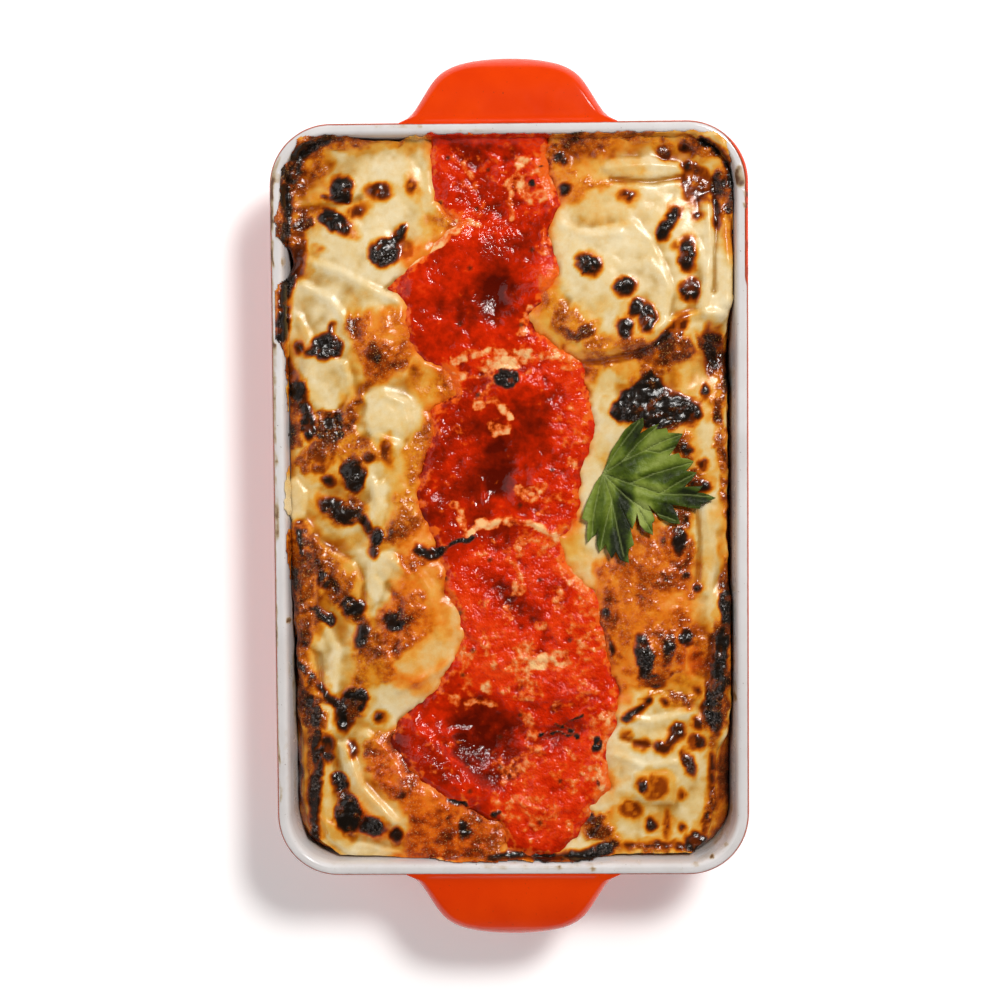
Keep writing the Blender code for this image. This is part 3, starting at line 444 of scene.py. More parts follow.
# Folds, edges and wrinkles: the level is the height in millimetres
FOLDS = (
    Streak(((310, 262), (340, 272), (372, 290), (398, 300)), 9, 0.7),
    Streak(((303, 285), (330, 300), (346, 322), (350, 345)), 10, 0.8),
    Streak(((300, 318), (312, 345), (310, 375)), 9, 0.6),
    Streak(((345, 365), (352, 395), (345, 420)), 9, 0.6),
    Streak(((365, 398), (384, 392), (405, 402)), 10, 0.7),
    Streak(((360, 440), (380, 432), (404, 440)), 8, -0.6),
    Streak(((560, 352), (600, 350), (640, 341), (667, 322), (700, 313), (722, 314)), 8, 0.8),
    Streak(((555, 364), (600, 362), (640, 354), (668, 336)), 8, -1.0),
    Streak(((612, 178), (650, 181), (682, 176)), 7, -0.9),
    Streak(((606, 168), (640, 165), (676, 166)), 8, 0.6),
    Streak(((560, 225), (590, 236), (620, 234)), 9, 0.5),
    Streak(((650, 262), (668, 285), (664, 310)), 9, 0.5),
    Streak(((700, 250), (708, 280), (704, 305)), 9, 0.6),
    Streak(((714, 180), (716, 230), (714, 290)), 8, -1.2),
    Streak(((726, 225), (728, 265), (726, 305)), 8, 1.0),
    Streak(((705, 505), (712, 545), (708, 590)), 8, 0.7),
    Streak(((696, 500), (700, 540), (698, 580)), 6, -0.7),
    Streak(((372, 480), (378, 505), (370, 528)), 8, 0.6),
    Streak(((324, 620), (336, 650), (332, 688)), 10, 0.7),
    Streak(((300, 640), (318, 655), (322, 690)), 7, -0.9),
    Streak(((345, 745), (360, 785), (395, 818)), 11, 0.8), Streak(((334, 760), (346, 795)), 6, -0.8),
    Streak(((618, 715), (650, 722), (690, 712)), 9, 0.7),
    Streak(((615, 755), (645, 766), (676, 762)), 8, 0.6), Streak(((620, 738), (650, 745)), 7, -0.7),
    Streak(((410, 560), (430, 590), (440, 640)), 9, 0.6),
    Streak(((378, 575), (400, 600), (396, 650)), 8, -0.6), Streak(((392, 560), (410, 575)), 9, 0.8),
    Streak(((400, 690), (425, 678), (450, 664)), 9, 0.7),
    Streak(((366, 735), (390, 752), (404, 786)), 9, 0.9),
    Streak(((430, 850), (470, 858), (500, 852)), 8, 0.7),
    Streak(((302, 210), (330, 205), (360, 198)), 8, -0.6), Streak(((300, 655), (306, 690)), 6, 0.9),
    Streak(((296, 525), (305, 560), (300, 600), (302, 640)), 7, 0.9),
    Streak(((312, 535), (320, 575), (316, 610)), 6, -0.9),
    Streak(((725, 600), (727, 650), (722, 700)), 7, 0.8),
    Streak(((712, 640), (708, 690), (712, 726)), 6, -1.0),
)

# Sheets and lips that stand over what is round them: the level is the height in millimetres
SHEETS = (
    Patch(((701, 200), (707, 228), (707, 258), (703, 286), (698, 306), (706, 321), (718, 325), (727, 315),
        (732, 300), (732, 255), (728, 225), (723, 202), (712, 192)), 1.3),
    Patch(((560, 262), (575, 232), (606, 226), (636, 222), (652, 240), (664, 262), (672, 290), (668, 318),
        (656, 344), (610, 356), (582, 350), (566, 330), (572, 300), (560, 285)), 0.9),
    Patch(((302, 352), (322, 350), (345, 362), (352, 378), (344, 400), (333, 414), (318, 409),
        (303, 393)), 1.1),
    Patch(((368, 402), (385, 394), (405, 400), (412, 420), (405, 440), (396, 456), (386, 442), (371, 437),
        (365, 420)), 1.2),
    Patch(((284, 482), (296, 478), (306, 492), (304, 516), (294, 522), (286, 512)), 1.2),
    Patch(((374, 484), (384, 480), (386, 505), (380, 524), (368, 524), (362, 508), (372, 500)), 0.9),
    Patch(((294, 530), (306, 522), (320, 542), (336, 552), (354, 563), (363, 582), (358, 598), (344, 590),
        (330, 575), (318, 600), (310, 640), (298, 640), (290, 590)), 1.3),
    Patch(((612, 160), (650, 158), (680, 166), (684, 176), (650, 180), (614, 178), (602, 168)), 0.9),
    Patch(((372, 556), (386, 552), (396, 556), (386, 580), (378, 600), (368, 606), (366, 580)), 1.0),
    Patch(((338, 742), (350, 748), (362, 780), (382, 802), (398, 820), (384, 826), (360, 806),
        (346, 776)), 1.0),
    Patch(((320, 815), (330, 838), (350, 850), (376, 854), (398, 848), (380, 842), (352, 838),
        (336, 822)), 0.9),
    Patch(((616, 700), (650, 690), (690, 700), (704, 720), (700, 770), (680, 800), (640, 800), (614, 790),
        (612, 740)), 0.5),
    Patch(((634, 772), (668, 770), (678, 780), (674, 802), (650, 800), (634, 795)), 0.9),
)

# Banks that rise against the wall
BANKS = (
    Streak(((330, 131), (420, 132), (560, 132), (690, 132)), 24, 4.2),
    Streak(((735, 200), (736, 255), (734, 300)), 16, 2.0),
)

# Edges of the baked block: left and right as (down, across), far and near as (across, down)
LEFT_EDGE = (
    (130, 300), (150, 293), (160, 290), (168, 282), (180, 280), (205, 279), (216, 275), (236, 273),
    (241, 279), (250, 290), (265, 295), (276, 289), (284, 279), (292, 275), (338, 273), (352, 284),
    (400, 287), (440, 289), (470, 290), (480, 284), (510, 285), (520, 292), (535, 287), (560, 287),
    (590, 292), (640, 297), (700, 299), (740, 302), (800, 304), (830, 309), (845, 330), (860, 345),
)
RIGHT_EDGE = (
    (130, 728), (200, 733), (300, 733), (315, 728), (324, 726), (345, 724), (371, 724), (380, 726),
    (400, 727), (440, 727), (500, 727), (560, 727), (590, 728), (600, 731), (700, 731), (735, 727),
    (750, 717), (800, 715), (820, 712), (838, 705), (848, 697), (860, 680),
)
FAR_EDGE = (
    (280, 135), (350, 135), (362, 141), (400, 143), (408, 137), (430, 133), (570, 133), (640, 131),
    (740, 130),
)
NEAR_EDGE = (
    (300, 845), (345, 851), (400, 852), (420, 856), (440, 862), (590, 862), (600, 856), (612, 850),
    (650, 848), (690, 848), (740, 846),
)

# Shore of the tomato sauce, from its far left end down the left side
SHORE = (
    (427, 128), (429, 150), (430, 165), (433, 180), (431, 200), (444, 212), (456, 222), (446, 232),
    (432, 246), (412, 264), (398, 276), (386, 288), (396, 295), (404, 308), (406, 322), (411, 338),
    (416, 352), (424, 362), (440, 366), (450, 376), (455, 392), (440, 402), (428, 412), (432, 430),
    (428, 448), (424, 462), (417, 480), (417, 500), (424, 520), (434, 538), (442, 556), (446, 574),
    (444, 590), (452, 604), (460, 620), (462, 640), (454, 656), (444, 672), (434, 690), (416, 704),
    (402, 716), (392, 730), (389, 744), (400, 758), (412, 772), (430, 786), (450, 798), (466, 806),
    (482, 814), (500, 820), (506, 832), (508, 846), (528, 850), (550, 852), (566, 846), (576, 836),
    (586, 822), (592, 806), (602, 798), (612, 788), (608, 774), (606, 760), (610, 745), (616, 728),
    (618, 708), (617, 688), (612, 668), (607, 648), (604, 625), (601, 602), (590, 588), (576, 574),
    (566, 556), (562, 540), (570, 530), (578, 518), (580, 496), (582, 474), (588, 452), (596, 432),
    (592, 408), (587, 385), (584, 368), (572, 354), (554, 342), (540, 332), (530, 320), (536, 306),
    (548, 292), (556, 278), (559, 262), (556, 246), (549, 232), (554, 218), (561, 205), (556, 188),
    (549, 172), (548, 155), (550, 128),
)

# Pale streaks of white sauce in the tomato, and its deep hollows: darker red where it lies thick, with
# painted shade in its crevices
PALE = (
    Streak(((462, 160), (470, 174), (476, 190)), 4, 0.5),
    Streak(((511, 215), (510, 186), (518, 166), (527, 160)), 4, 0.6),
    Streak(((459, 222), (444, 238), (430, 250), (410, 264)), 6, 1.0),
    Streak(((465, 219), (478, 227)), 5, 0.7), Streak(((522, 334), (525, 318), (531, 310)), 5, 0.6),
    Spot(499, 429, 10, 6, 30, 0.85), Streak(((476, 404), (494, 401), (510, 418)), 5, 0.6),
    Spot(528, 493, 12, 6, 10, 0.8), Streak(((452, 506), (460, 520), (468, 535)), 7, 0.55),
    Streak(((470, 533), (485, 524), (505, 520), (530, 522), (560, 538)), 5, 0.7),
    Spot(574, 568, 12, 22, -20, 0.6), Spot(484, 642, 6, 7, 0, 0.55), Spot(502, 635, 4, 5, 0, 0.5),
    Spot(527, 650, 8, 10, 0, 0.6), Spot(548, 661, 17, 6, -10, 0.65), Spot(525, 678, 5, 9, 0, 0.6),
    Spot(505, 690, 5, 5, 0, 0.6), Spot(489, 686, 4, 6, 0, 0.6), Spot(520, 777, 10, 12, 0, 0.35),
    Spot(550, 280, 11, 9, 0, 0.30), Spot(560, 351, 15, 8, 0, 0.35), Spot(575, 435, 14, 14, 0, 0.30),
    Streak(((452, 360), (470, 356), (500, 352), (540, 354), (580, 360)), 5, 0.65),
    Spot(506, 364, 17, 6, 0, 0.7), Streak(((452, 378), (470, 372), (490, 372)), 5, 0.5),
    Spot(585, 620, 12, 26, 0, 0.30), Spot(585, 690, 20, 34, 0, 0.22), Spot(460, 690, 14, 20, 0, 0.3),
    Streak(((440, 690), (470, 700), (500, 705)), 4, 0.5), Spot(538, 178, 20, 24, 0, 0.40),
    Spot(520, 172, 6, 14, 0, 0.70), Spot(602, 752, 11, 36, 0, 0.42), Spot(606, 720, 14, 12, 0, 0.50),
    Streak(((560, 596), (575, 620), (584, 660)), 4, 0.4),
    Streak(((545, 735), (580, 760), (590, 790)), 4, 0.35),
)
DEEP_AND_SHADED = (
    Spot(494, 295, 13, 16, 0, 1.0), Spot(468, 305, 5, 6, 0, 0.6), Spot(462, 408, 13, 22, 0, 0.6),
    Spot(535, 417, 11, 9, 0, 0.8), Spot(498, 465, 10, 16, 0, 1.0), Spot(508, 536, 9, 5, 0, 0.7),
    Spot(510, 596, 17, 7, 40, 1.0), Spot(556, 592, 7, 5, 0, 0.7), Spot(488, 742, 24, 36, -20, 0.9),
    Spot(412, 749, 24, 7, 30, 0.8), Spot(470, 440, 26, 60, 0, 0.45), Spot(540, 460, 30, 50, 0, 0.35),
    Spot(490, 180, 30, 30, 0, 0.25), Spot(520, 240, 26, 18, 0, 0.35), Spot(436, 490, 12, 34, 0, 0.5),
    Spot(560, 705, 24, 14, 0, 0.4), Spot(500, 735, 40, 20, 0, 0.5),
)
FLECKS = (
    (448, 158), (440, 203), (477, 209), (460, 324), (521, 325), (446, 579), (460, 613), (449, 638),
    (473, 650), (463, 675), (500, 737), (500, 767), (488, 170), (532, 250), (470, 268), (540, 305),
    (478, 395), (552, 470), (520, 505), (490, 560), (540, 580), (570, 640), (520, 715), (560, 780),
    (540, 820), (470, 790),
)
CHUNKY = (
    Spot(530, 622, 78, 84, 0, 1.0), Spot(560, 265, 20, 36, 0, 0.9), Spot(576, 434, 20, 30, 0, 0.9),
    Spot(560, 362, 34, 20, 0, 0.9), Spot(488, 185, 60, 46, 0, 0.5), Spot(530, 170, 20, 26, 0, 0.7),
    Spot(548, 775, 52, 62, 0, 0.9), Spot(560, 500, 26, 30, 0, 0.8), Spot(470, 375, 26, 18, 0, 0.7),
    Spot(590, 700, 26, 60, 0, 0.8), Spot(440, 750, 26, 20, 0, 0.55), Spot(470, 775, 24, 16, 0, 0.55),
    Spot(445, 460, 16, 50, 0, 0.35),
)
WRINKLES = (
    Streak(((414, 722), (432, 745), (458, 768), (484, 792)), 13, 1.3),
    Streak(((424, 756), (448, 778), (470, 796)), 7, 0.7),
    Streak(((524, 744), (545, 752), (562, 750)), 6, 0.7), Streak(((440, 432), (452, 462)), 6, 0.6),
    Streak(((466, 462), (474, 482)), 5, 0.6), Streak(((483, 480), (485, 506)), 5, 0.6),
    Streak(((484, 594), (488, 620)), 5, 0.6),
    Streak(((480, 527), (500, 520), (530, 522), (560, 538)), 7, 1.0),
    Streak(((400, 726), (430, 735), (470, 730)), 8, 0.8),
    Streak(((436, 728), (462, 752), (486, 770)), 6, 0.7),
    Streak(((500, 690), (540, 700), (590, 690)), 8, 0.7),
    Streak(((520, 800), (550, 812), (580, 800)), 7, 0.6),
    Streak(((450, 620), (480, 640), (500, 665)), 7, 0.6),
    Streak(((540, 610), (560, 640), (555, 680)), 7, 0.6),
    Streak(((430, 165), (450, 180), (448, 205)), 6, 0.6),
    Streak(((480, 150), (500, 162), (498, 190)), 6, 0.6),
    Streak(((520, 260), (545, 275), (540, 300)), 7, 0.6),
)


# Form of the food, taken from the solids' tops


def solid_tree(*names):
    """The solids' faces, to drop lines of sight on."""
    points = []
    faces = []
    for name in names:
        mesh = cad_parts[name].data
        start = len(points)
        points += [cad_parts[name].matrix_world @ vert.co for vert in mesh.vertices]
        faces += [[start + index for index in face.vertices] for face in mesh.polygons]
    return BVHTree.FromPolygons(points, faces)


HEIGHT_STEP = 0.001
LATTICE_X = np.arange(-0.096, 0.0965, HEIGHT_STEP)
LATTICE_Y = np.arange(-0.151, 0.1515, HEIGHT_STEP)


def blurred(field, sigma):
    """The field smoothed along both its directions."""
    reach = int(3 * sigma + 1)
    weights = np.exp(-0.5 * (np.arange(-reach, reach + 1) / sigma) ** 2)
    weights /= weights.sum()
    for axis in (0, 1):
        margins = [(0, 0), (0, 0)]
        margins[axis] = (reach, reach)
        padded = np.pad(field, margins, mode="edge")
        length = field.shape[axis]
        field = np.zeros_like(field)
        for k, weight in enumerate(weights):
            field = field + weight * np.take(padded, range(k, k + length), axis=axis)
    return field


def top_lattice():
    """Height of the solids' tops on a lattice, smoothed, and carried on past their edges."""
    tree = solid_tree("lasagna", "tomato_sauce")
    down = Vector((0, 0, -1))
    heights = np.full((len(LATTICE_X), len(LATTICE_Y)), np.nan)
    for i, x in enumerate(LATTICE_X):
        for j, y in enumerate(LATTICE_Y):
            hit = tree.ray_cast(Vector((x, y, 0.1)), down)[0]
            if hit is not None and hit.z > 0.048:
                heights[i, j] = hit.z
    while np.isnan(heights).any():
        padded = np.pad(heights, 1, constant_values=np.nan)
        around = np.stack([padded[1 + a:padded.shape[0] - 1 + a, 1 + b:padded.shape[1] - 1 + b]
                           for a in (-1, 0, 1) for b in (-1, 0, 1)])
        known = ~np.isnan(around)
        count = known.sum(0)
        mean = np.where(known, around, 0).sum(0) / np.maximum(count, 1)
        heights = np.where(np.isnan(heights) & (count > 0), mean, heights)
    return blurred(heights, 1.8)


TOPS = top_lattice()


def base_height(x, y):
    """Height of the solids' tops at any places."""
    u = np.clip((x - LATTICE_X[0]) / HEIGHT_STEP, 0, len(LATTICE_X) - 1.001)
    v = np.clip((y - LATTICE_Y[0]) / HEIGHT_STEP, 0, len(LATTICE_Y) - 1.001)
    i = u.astype(int)
    j = v.astype(int)
    s = u - i
    t = v - j
    low = TOPS[i, j] * (1 - s) + TOPS[i + 1, j] * s
    high = TOPS[i, j + 1] * (1 - s) + TOPS[i + 1, j + 1] * s
    return low * (1 - t) + high * t


def offshore(px, py):
    """How far inside the tomato sauce's shore a place is, in pixels."""
    distance = line_distance(SHORE, px, py, closed=True)
    return np.where(inside(SHORE, px, py), distance, -distance)


class Top:
    """All that the food's top holds at a set of places: its relief and its browning."""

    def __init__(self, x, y, base=None):
        self.base = base_height(x, y) if base is None else base
        px, py = pixel_of(x, y, self.base)
        self.px = px
        self.py = py
        bent_x = wandered(px, px, py, 1)
        bent_y = wandered(py, px, py, 4)
        broken = 1 - 0.30 * smooth(cloud(px, py, 7, 73, 2) * 1.6)
        self.scorched = browned(SCORCHED, (px + bent_x) / 2, (py + bent_y) / 2) * broken
        golden = strongest(GOLDEN, bent_x, bent_y, 14)
        white = strongest(WHITE, bent_x, bent_y, 12)
        mottle = cloud(px, py, 26, 7, 3)
        plain = np.clip(0.21 + 0.19 * mottle, 0.02, 1) * (1 - 0.78 * white)
        uneven = 0.30 * cloud(px, py, 18, 8, 2) + 0.10 * cloud(px, py, 7, 75)
        golden = golden * (0.92 + uneven) * (1 - 0.68 * white)
        brown = strongest(BROWN, bent_x, bent_y, 7)
        uneven = 0.36 * cloud(px, py, 17, 74) + 0.24 * cloud(px, py, 8, 72)
        brown = brown * (0.74 + uneven) * (1 - 0.60 * white)
        browning = np.maximum(plain, np.maximum(golden, brown))
        self.toast = np.maximum(browning, self.scorched)
        self.grain = smooth((browning - 0.28) / 0.16) * (1 - smooth((self.scorched - 0.6) / 0.3))
        self.shore = offshore(px + 2.4 * cloud(px, py, 10, 9, 2), py + 2.4 * cloud(px, py, 10, 10, 2))
        # tomato seeps into the white sauce a little way outside its shore
        seep = smooth(1 + (self.shore - 2) / (13 + 9 * cloud(px, py, 30, 11)))
        seep = seep * (1 - 0.8 * white)
        self.toast = np.maximum(self.toast, 0.26 * seep * (1 + 0.5 * mottle))
        tinted = strongest(TINTED, bent_x, bent_y, 16) * (1 - 0.75 * white)
        self.tint = np.maximum(tinted, 0.85 * seep)
        self.relief = self.make_relief(px, py)

    def make_relief(self, px, py):
        """Height over the solid's top, in metres."""
        height = 0.50 * cloud(px, py, 34, 12, 2) + 0.16 * cloud(px, py, 9, 13, 2)
        for fold in FOLDS:
            height = height + 1.3 * fold.level * ridge(fold, px, py)
        for sheet in SHEETS:
            height = height + sheet.level * smooth(0.5 + mark_depth(sheet, px, py) / 7)
        for bank in BANKS:
            height = height + bank.level * ridge(bank, px, py)
        charred = smooth((self.scorched - 0.45) / 0.4)
        crags = 0.75 - 2.2 * np.abs(cloud(px, py, 8, 14, 2))
        height = height + charred * (0.50 + 0.34 * crags)
        grit = 0.32 * (0.6 - grains(px, py, 5.6, 15)) + 0.10 * cloud(px, py, 4.2, 16) + 0.16 * crags
        height = height + self.grain * grit
        return height * MM


def stretched(y):
    """The near end carried on to the near wall."""
    return y - NEAR_SHIFT * smooth((-y - 0.100) / 0.045)


def hollow_share(z, columns, rows):
    """How far each of a grid's points lies below what is round it, from 0 to 1."""
    field = z.reshape(rows, columns)
    below = blurred(field, 3.5) - field + 0.5 * (blurred(field, 9) - field)
    return smooth(below.ravel() / 0.0011)


def lasagna_height(top):
    """Height of the baked top, which dips under the tomato sauce."""
    sunk = smooth(0.5 + (top.shore - 1) / 12)
    return top.base + top.relief * (1 - 0.7 * sunk) - CHANNEL * sunk


def sauce_height(top):
    """Height of the tomato sauce's top: ripples, lumps, wrinkles, hollows and burnt spots."""
    lumps = 0.36 * cloud(top.px, top.py, 6.5, 22) + 0.40 * (0.55 - grains(top.px, top.py, 8.5, 21))
    lumpy = 0.16 + 0.84 * strongest(CHUNKY, top.px, top.py, 14)
    ripple = 0.55 * cloud(top.px, top.py, 20, 20, 2) + lumps * lumpy
    for wrinkle in WRINKLES:
        ripple = ripple + wrinkle.level * ridge(wrinkle, top.px, top.py)
    ripple = ripple - 0.35 * strongest(DEEP_AND_SHADED, top.px, top.py, 18)
    burnt = smooth((top.scorched - 0.5) / 0.4)
    ripple = ripple + burnt * (0.8 + 0.4 * cloud(top.px, top.py, 5.5, 14, 2))
    edge = smooth(0.5 + (top.shore - 1) / 12)
    for bank in BANKS:
        ripple = ripple + bank.level * ridge(bank, top.px, top.py)
    return top.base + (ripple * edge + 0.35 * smooth(top.shore / 14) - 1.9 * (1 - edge)) * MM


# Grids and their values


def grid_piece(name, columns, rows):
    """A flat grid from -1 to 1, with its points' places on it."""
    clear_selection()
    bpy.ops.mesh.primitive_grid_add(x_subdivisions=columns, y_subdivisions=rows, size=2)
    piece = bpy.context.object
    piece.name = piece.data.name = name
    return piece


def points_of(piece):
    flat = np.empty(len(piece.data.vertices) * 3)
    piece.data.vertices.foreach_get("co", flat)
    return flat.reshape(-1, 3)


def set_points(piece, points):
    piece.data.vertices.foreach_set("co", np.ascontiguousarray(points, float).ravel())
    piece.data.update()


def keep_value(piece, name, values):
    """Keeps one number at each of the piece's points, for its material to read."""
    attribute = piece.data.attributes.new(name, "FLOAT", "POINT")
    attribute.data.foreach_set("value", np.ascontiguousarray(values, np.float32))


def finish_piece(piece, material, node):
    """Gives the piece its material and its body, and hides the solid that it stands for."""
    piece.data.materials.clear()
    piece.data.materials.append(material)
    piece.data.shade_smooth()
    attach(piece, "root")
    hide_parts(node)
    return piece


def wall_inset(z):
    """How far the dish's inner face is in from the rim's outer edge."""
    rise = np.clip((FLOOR + FLOOR_RADIUS - z) / FLOOR_RADIUS, 0, 1)
    slope = WALL + TAPER * (DISH_HEIGHT - z) / DISH_HEIGHT
    return slope + FLOOR_RADIUS * (1 - np.sqrt(1 - 0.98 * rise ** 2))


def wall_place(x, y, z):
    """The nearest place on the dish's inner face, less the clearance."""
    radius = CORNER_RADIUS - WALL - CORNER_CHANGE * (DISH_HEIGHT - z)
    inset = wall_inset(z) + CLEARANCE
    reach_x = np.abs(x) - (RIM_WIDTH / 2 - inset - radius)
    reach_y = np.abs(y) - (RIM_LENGTH / 2 - inset - radius)
    out_x = np.maximum(reach_x, 0)
    out_y = np.maximum(reach_y, 0)
    corner = (reach_x > 0) & (reach_y > 0)
    length = np.where(corner, np.hypot(out_x, out_y), 1)
    gap = np.where(corner, length, np.maximum(reach_x, reach_y)) - radius
    along_x = np.where(corner, out_x / length, reach_x > reach_y)
    along_y = np.where(corner, out_y / length, reach_x <= reach_y)
    return x - np.sign(x) * gap * along_x, y - np.sign(y) * gap * along_y, gap


# Baked block


def food_footprint(u, v):
    """Where the grid's points lie, from the edges seen in the photograph."""
    inset = wall_inset(BANK_HEIGHT) + CLEARANCE
    half_x = RIM_WIDTH / 2 - inset
    half_y = RIM_LENGTH / 2 - inset
    straight = half_y - FOOD_CORNER
    travel = np.abs(v) * (straight + 0.5 * math.pi * FOOD_CORNER)
    angle = np.clip((travel - straight) / FOOD_CORNER, 0, math.pi / 2)
    y = np.sign(v) * (np.minimum(travel, straight) + FOOD_CORNER * np.sin(angle))
    half = half_x - FOOD_CORNER * (1 - np.cos(angle))
    x = u * half
    px, py = pixel_of(x, y, np.full_like(x, EDGE_HEIGHT))
    rough = 1.2 * cloud(px, py, 14, 30, 2)
    for edge, side in ((LEFT_EDGE, -1), (RIGHT_EDGE, 1)):
        down, across = np.array(edge, float).T
        limit = place_of(np.interp(py, down, across) + rough, py, EDGE_HEIGHT)[0]
        excess = np.maximum(side * (side * half - limit), 0)
        x = x - side * np.where(side * u > 0, excess * np.abs(u) ** 8, 0)
    for edge, side in ((FAR_EDGE, 1), (NEAR_EDGE, -1)):
        across, down = np.array(edge, float).T
        limit = place_of(px, np.interp(px, across, down) + rough, EDGE_HEIGHT)[1]
        top = np.sign(v) * half_y
        excess = np.maximum(side * (top - limit), 0)
        y = y - side * np.where(side * v > 0, excess * np.abs(v) ** 16, 0)
    return x, y


# Rings down the block's side: first by their drop from the top's edge, then by their height
SIDE_DROPS = (0.0010, 0.0028, 0.0065, 0.013, 0.022)
SIDE_BASES = (0.0125, 0.0088, 0.0069)


def keep_baked_values(piece, top, toast, grain, hollow_shade):
    """Keeps what the baked material reads."""
    keep_value(piece, "toast", toast)
    keep_value(piece, "tint", top.tint)
    keep_value(piece, "grain", grain)
    keep_value(piece, "hollow_shade", hollow_shade)
    keep_value(piece, "char", smooth((top.scorched - 0.55) / 0.35))


def keep_sauce_values(piece, top, hollow_shade):
    """Keeps what the tomato sauce's material reads."""
    bent_x = top.px + 3.5 * cloud(top.px, top.py, 12, 40, 2)
    bent_y = top.py + 3.5 * cloud(top.px, top.py, 12, 41, 2)
    patchy = 0.80 + 0.50 * cloud(top.px, top.py, 8, 42, 2)
    chunky = strongest(CHUNKY, bent_x, bent_y, 16)
    marbled = 0.40 * chunky * smooth((cloud(top.px, top.py, 13, 45, 2) - 0.12) / 0.3)
    keep_value(piece, "pale", np.maximum(strongest(PALE, bent_x, bent_y, 4) * patchy, marbled))
    keep_value(piece, "deep_and_shaded", strongest(DEEP_AND_SHADED, bent_x, bent_y, 18))
    keep_value(piece, "chunky", chunky)
    keep_value(piece, "shore", smooth(top.shore / 16))
    keep_value(piece, "char", smooth((top.scorched - 0.45) / 0.45))
    keep_value(piece, "hollow_shade", hollow_shade)
    fleck = np.zeros_like(top.px)
    for fx, fy in FLECKS:
        fleck = np.maximum(fleck, smooth(1.6 - np.hypot(top.px - fx, top.py - fy) / 2.2))
    keep_value(piece, "fleck", fleck)


def cut_away(piece, unwanted):
    """Remove the points that aren't wanted."""
    bpy.ops.object.mode_set(mode="EDIT")
    bpy.ops.mesh.select_mode(type="VERT")
    bpy.ops.mesh.select_all(action="DESELECT")
    bpy.ops.object.mode_set(mode="OBJECT")
    piece.data.vertices.foreach_set("select", unwanted)
    bpy.ops.object.mode_set(mode="EDIT")
    bpy.ops.mesh.delete(type="VERT")
    bpy.ops.object.mode_set(mode="OBJECT")


def thicken(piece, thickness):
    """Makes a skin of the thickness out of a sheet, downwards."""
    skin = piece.modifiers.new("skin", "SOLIDIFY")
    skin.thickness = thickness
    skin.offset = -1
    bpy.ops.object.modifier_apply(modifier="skin")


def make_lasagna(material):
    """The block: a grid for its top, with rings extruded down its side and a face underneath."""
    piece = grid_piece("baked_lasagna", FOOD_COLUMNS, FOOD_ROWS)
    flat = points_of(piece)
    x, y = food_footprint(flat[:, 0], flat[:, 1])
    z = lasagna_height(Top(x, y))
    wall_x, wall_y, gap = wall_place(x, y, np.minimum(z, DISH_HEIGHT - 0.001))
    outside = gap > 0
    x = np.where(outside, wall_x, x)
    y = np.where(outside, wall_y, y)
    top = Top(x, y)
    z = lasagna_height(top)
    # how deep each point lies in a hollow of the top, for the painted shade there
    hollow_shade = hollow_share(z, FOOD_COLUMNS + 1, FOOD_ROWS + 1)
    edge = np.maximum(np.abs(flat[:, 0]), np.abs(flat[:, 1])) > 0.9995
    z = z - 0.0007 * edge
    set_points(piece, np.stack([x, y, z], -1))

    bpy.ops.object.mode_set(mode="EDIT")
    bpy.ops.mesh.select_mode(type="EDGE")
    bpy.ops.mesh.select_all(action="DESELECT")
    bpy.ops.mesh.select_non_manifold()
    rim_height = None
    for drop in SIDE_DROPS + SIDE_BASES:
        bpy.ops.mesh.extrude_region_move(TRANSFORM_OT_translate={"value": (0, 0, -0.0001)})
        bpy.ops.object.mode_set(mode="OBJECT")
        points = points_of(piece)
        chosen = np.zeros(len(points), bool)
        piece.data.vertices.foreach_get("select", chosen)
        ring = points[chosen]
        if rim_height is None:
            rim_height = ring[:, 2].copy()
        level = rim_height - drop if drop in SIDE_DROPS else np.full(len(ring), drop)
        close = smooth((rim_height - level) / 0.0075)
        wall_x, wall_y, gap = wall_place(ring[:, 0], ring[:, 1], level)
        close = np.where(gap > 0, 1.0, close)
        rugged = 0.0004 * cloud(ring[:, 0] + ring[:, 1], level, 0.004, 33, 2) * (close < 0.9)
        ring[:, 0] += (wall_x - ring[:, 0]) * close + rugged
        ring[:, 1] += (wall_y - ring[:, 1]) * close
        ring[:, 2] = level
        points[chosen] = ring
        set_points(piece, points)
        bpy.ops.object.mode_set(mode="EDIT")
    bpy.ops.mesh.edge_face_add()
    bpy.ops.mesh.select_all(action="SELECT")
    bpy.ops.mesh.normals_make_consistent(inside=False)
    bpy.ops.object.mode_set(mode="OBJECT")

    points = points_of(piece)
    count = len(points)
    sides = np.arange(count) >= len(z)
    points[:, 1] = stretched(points[:, 1])
    set_points(piece, points)
    top = Top(points[:, 0], points[:, 1])
    drop = np.where(sides, lasagna_height(top) - points[:, 2], 0)
    side_toast = np.clip(0.52 + 0.25 * cloud(points[:, 1], points[:, 2], 0.006, 35, 2), 0, 1)
    toast = np.where(sides, np.maximum(top.toast, side_toast * smooth(drop / 0.004)), top.toast)
    hollow_shade = np.concatenate([hollow_shade, np.zeros(count - len(hollow_shade))])
    keep_baked_values(piece, top, toast, np.where(sides, 0.4, top.grain), hollow_shade)
    return finish_piece(piece, material, "lasagna")


# Tomato sauce


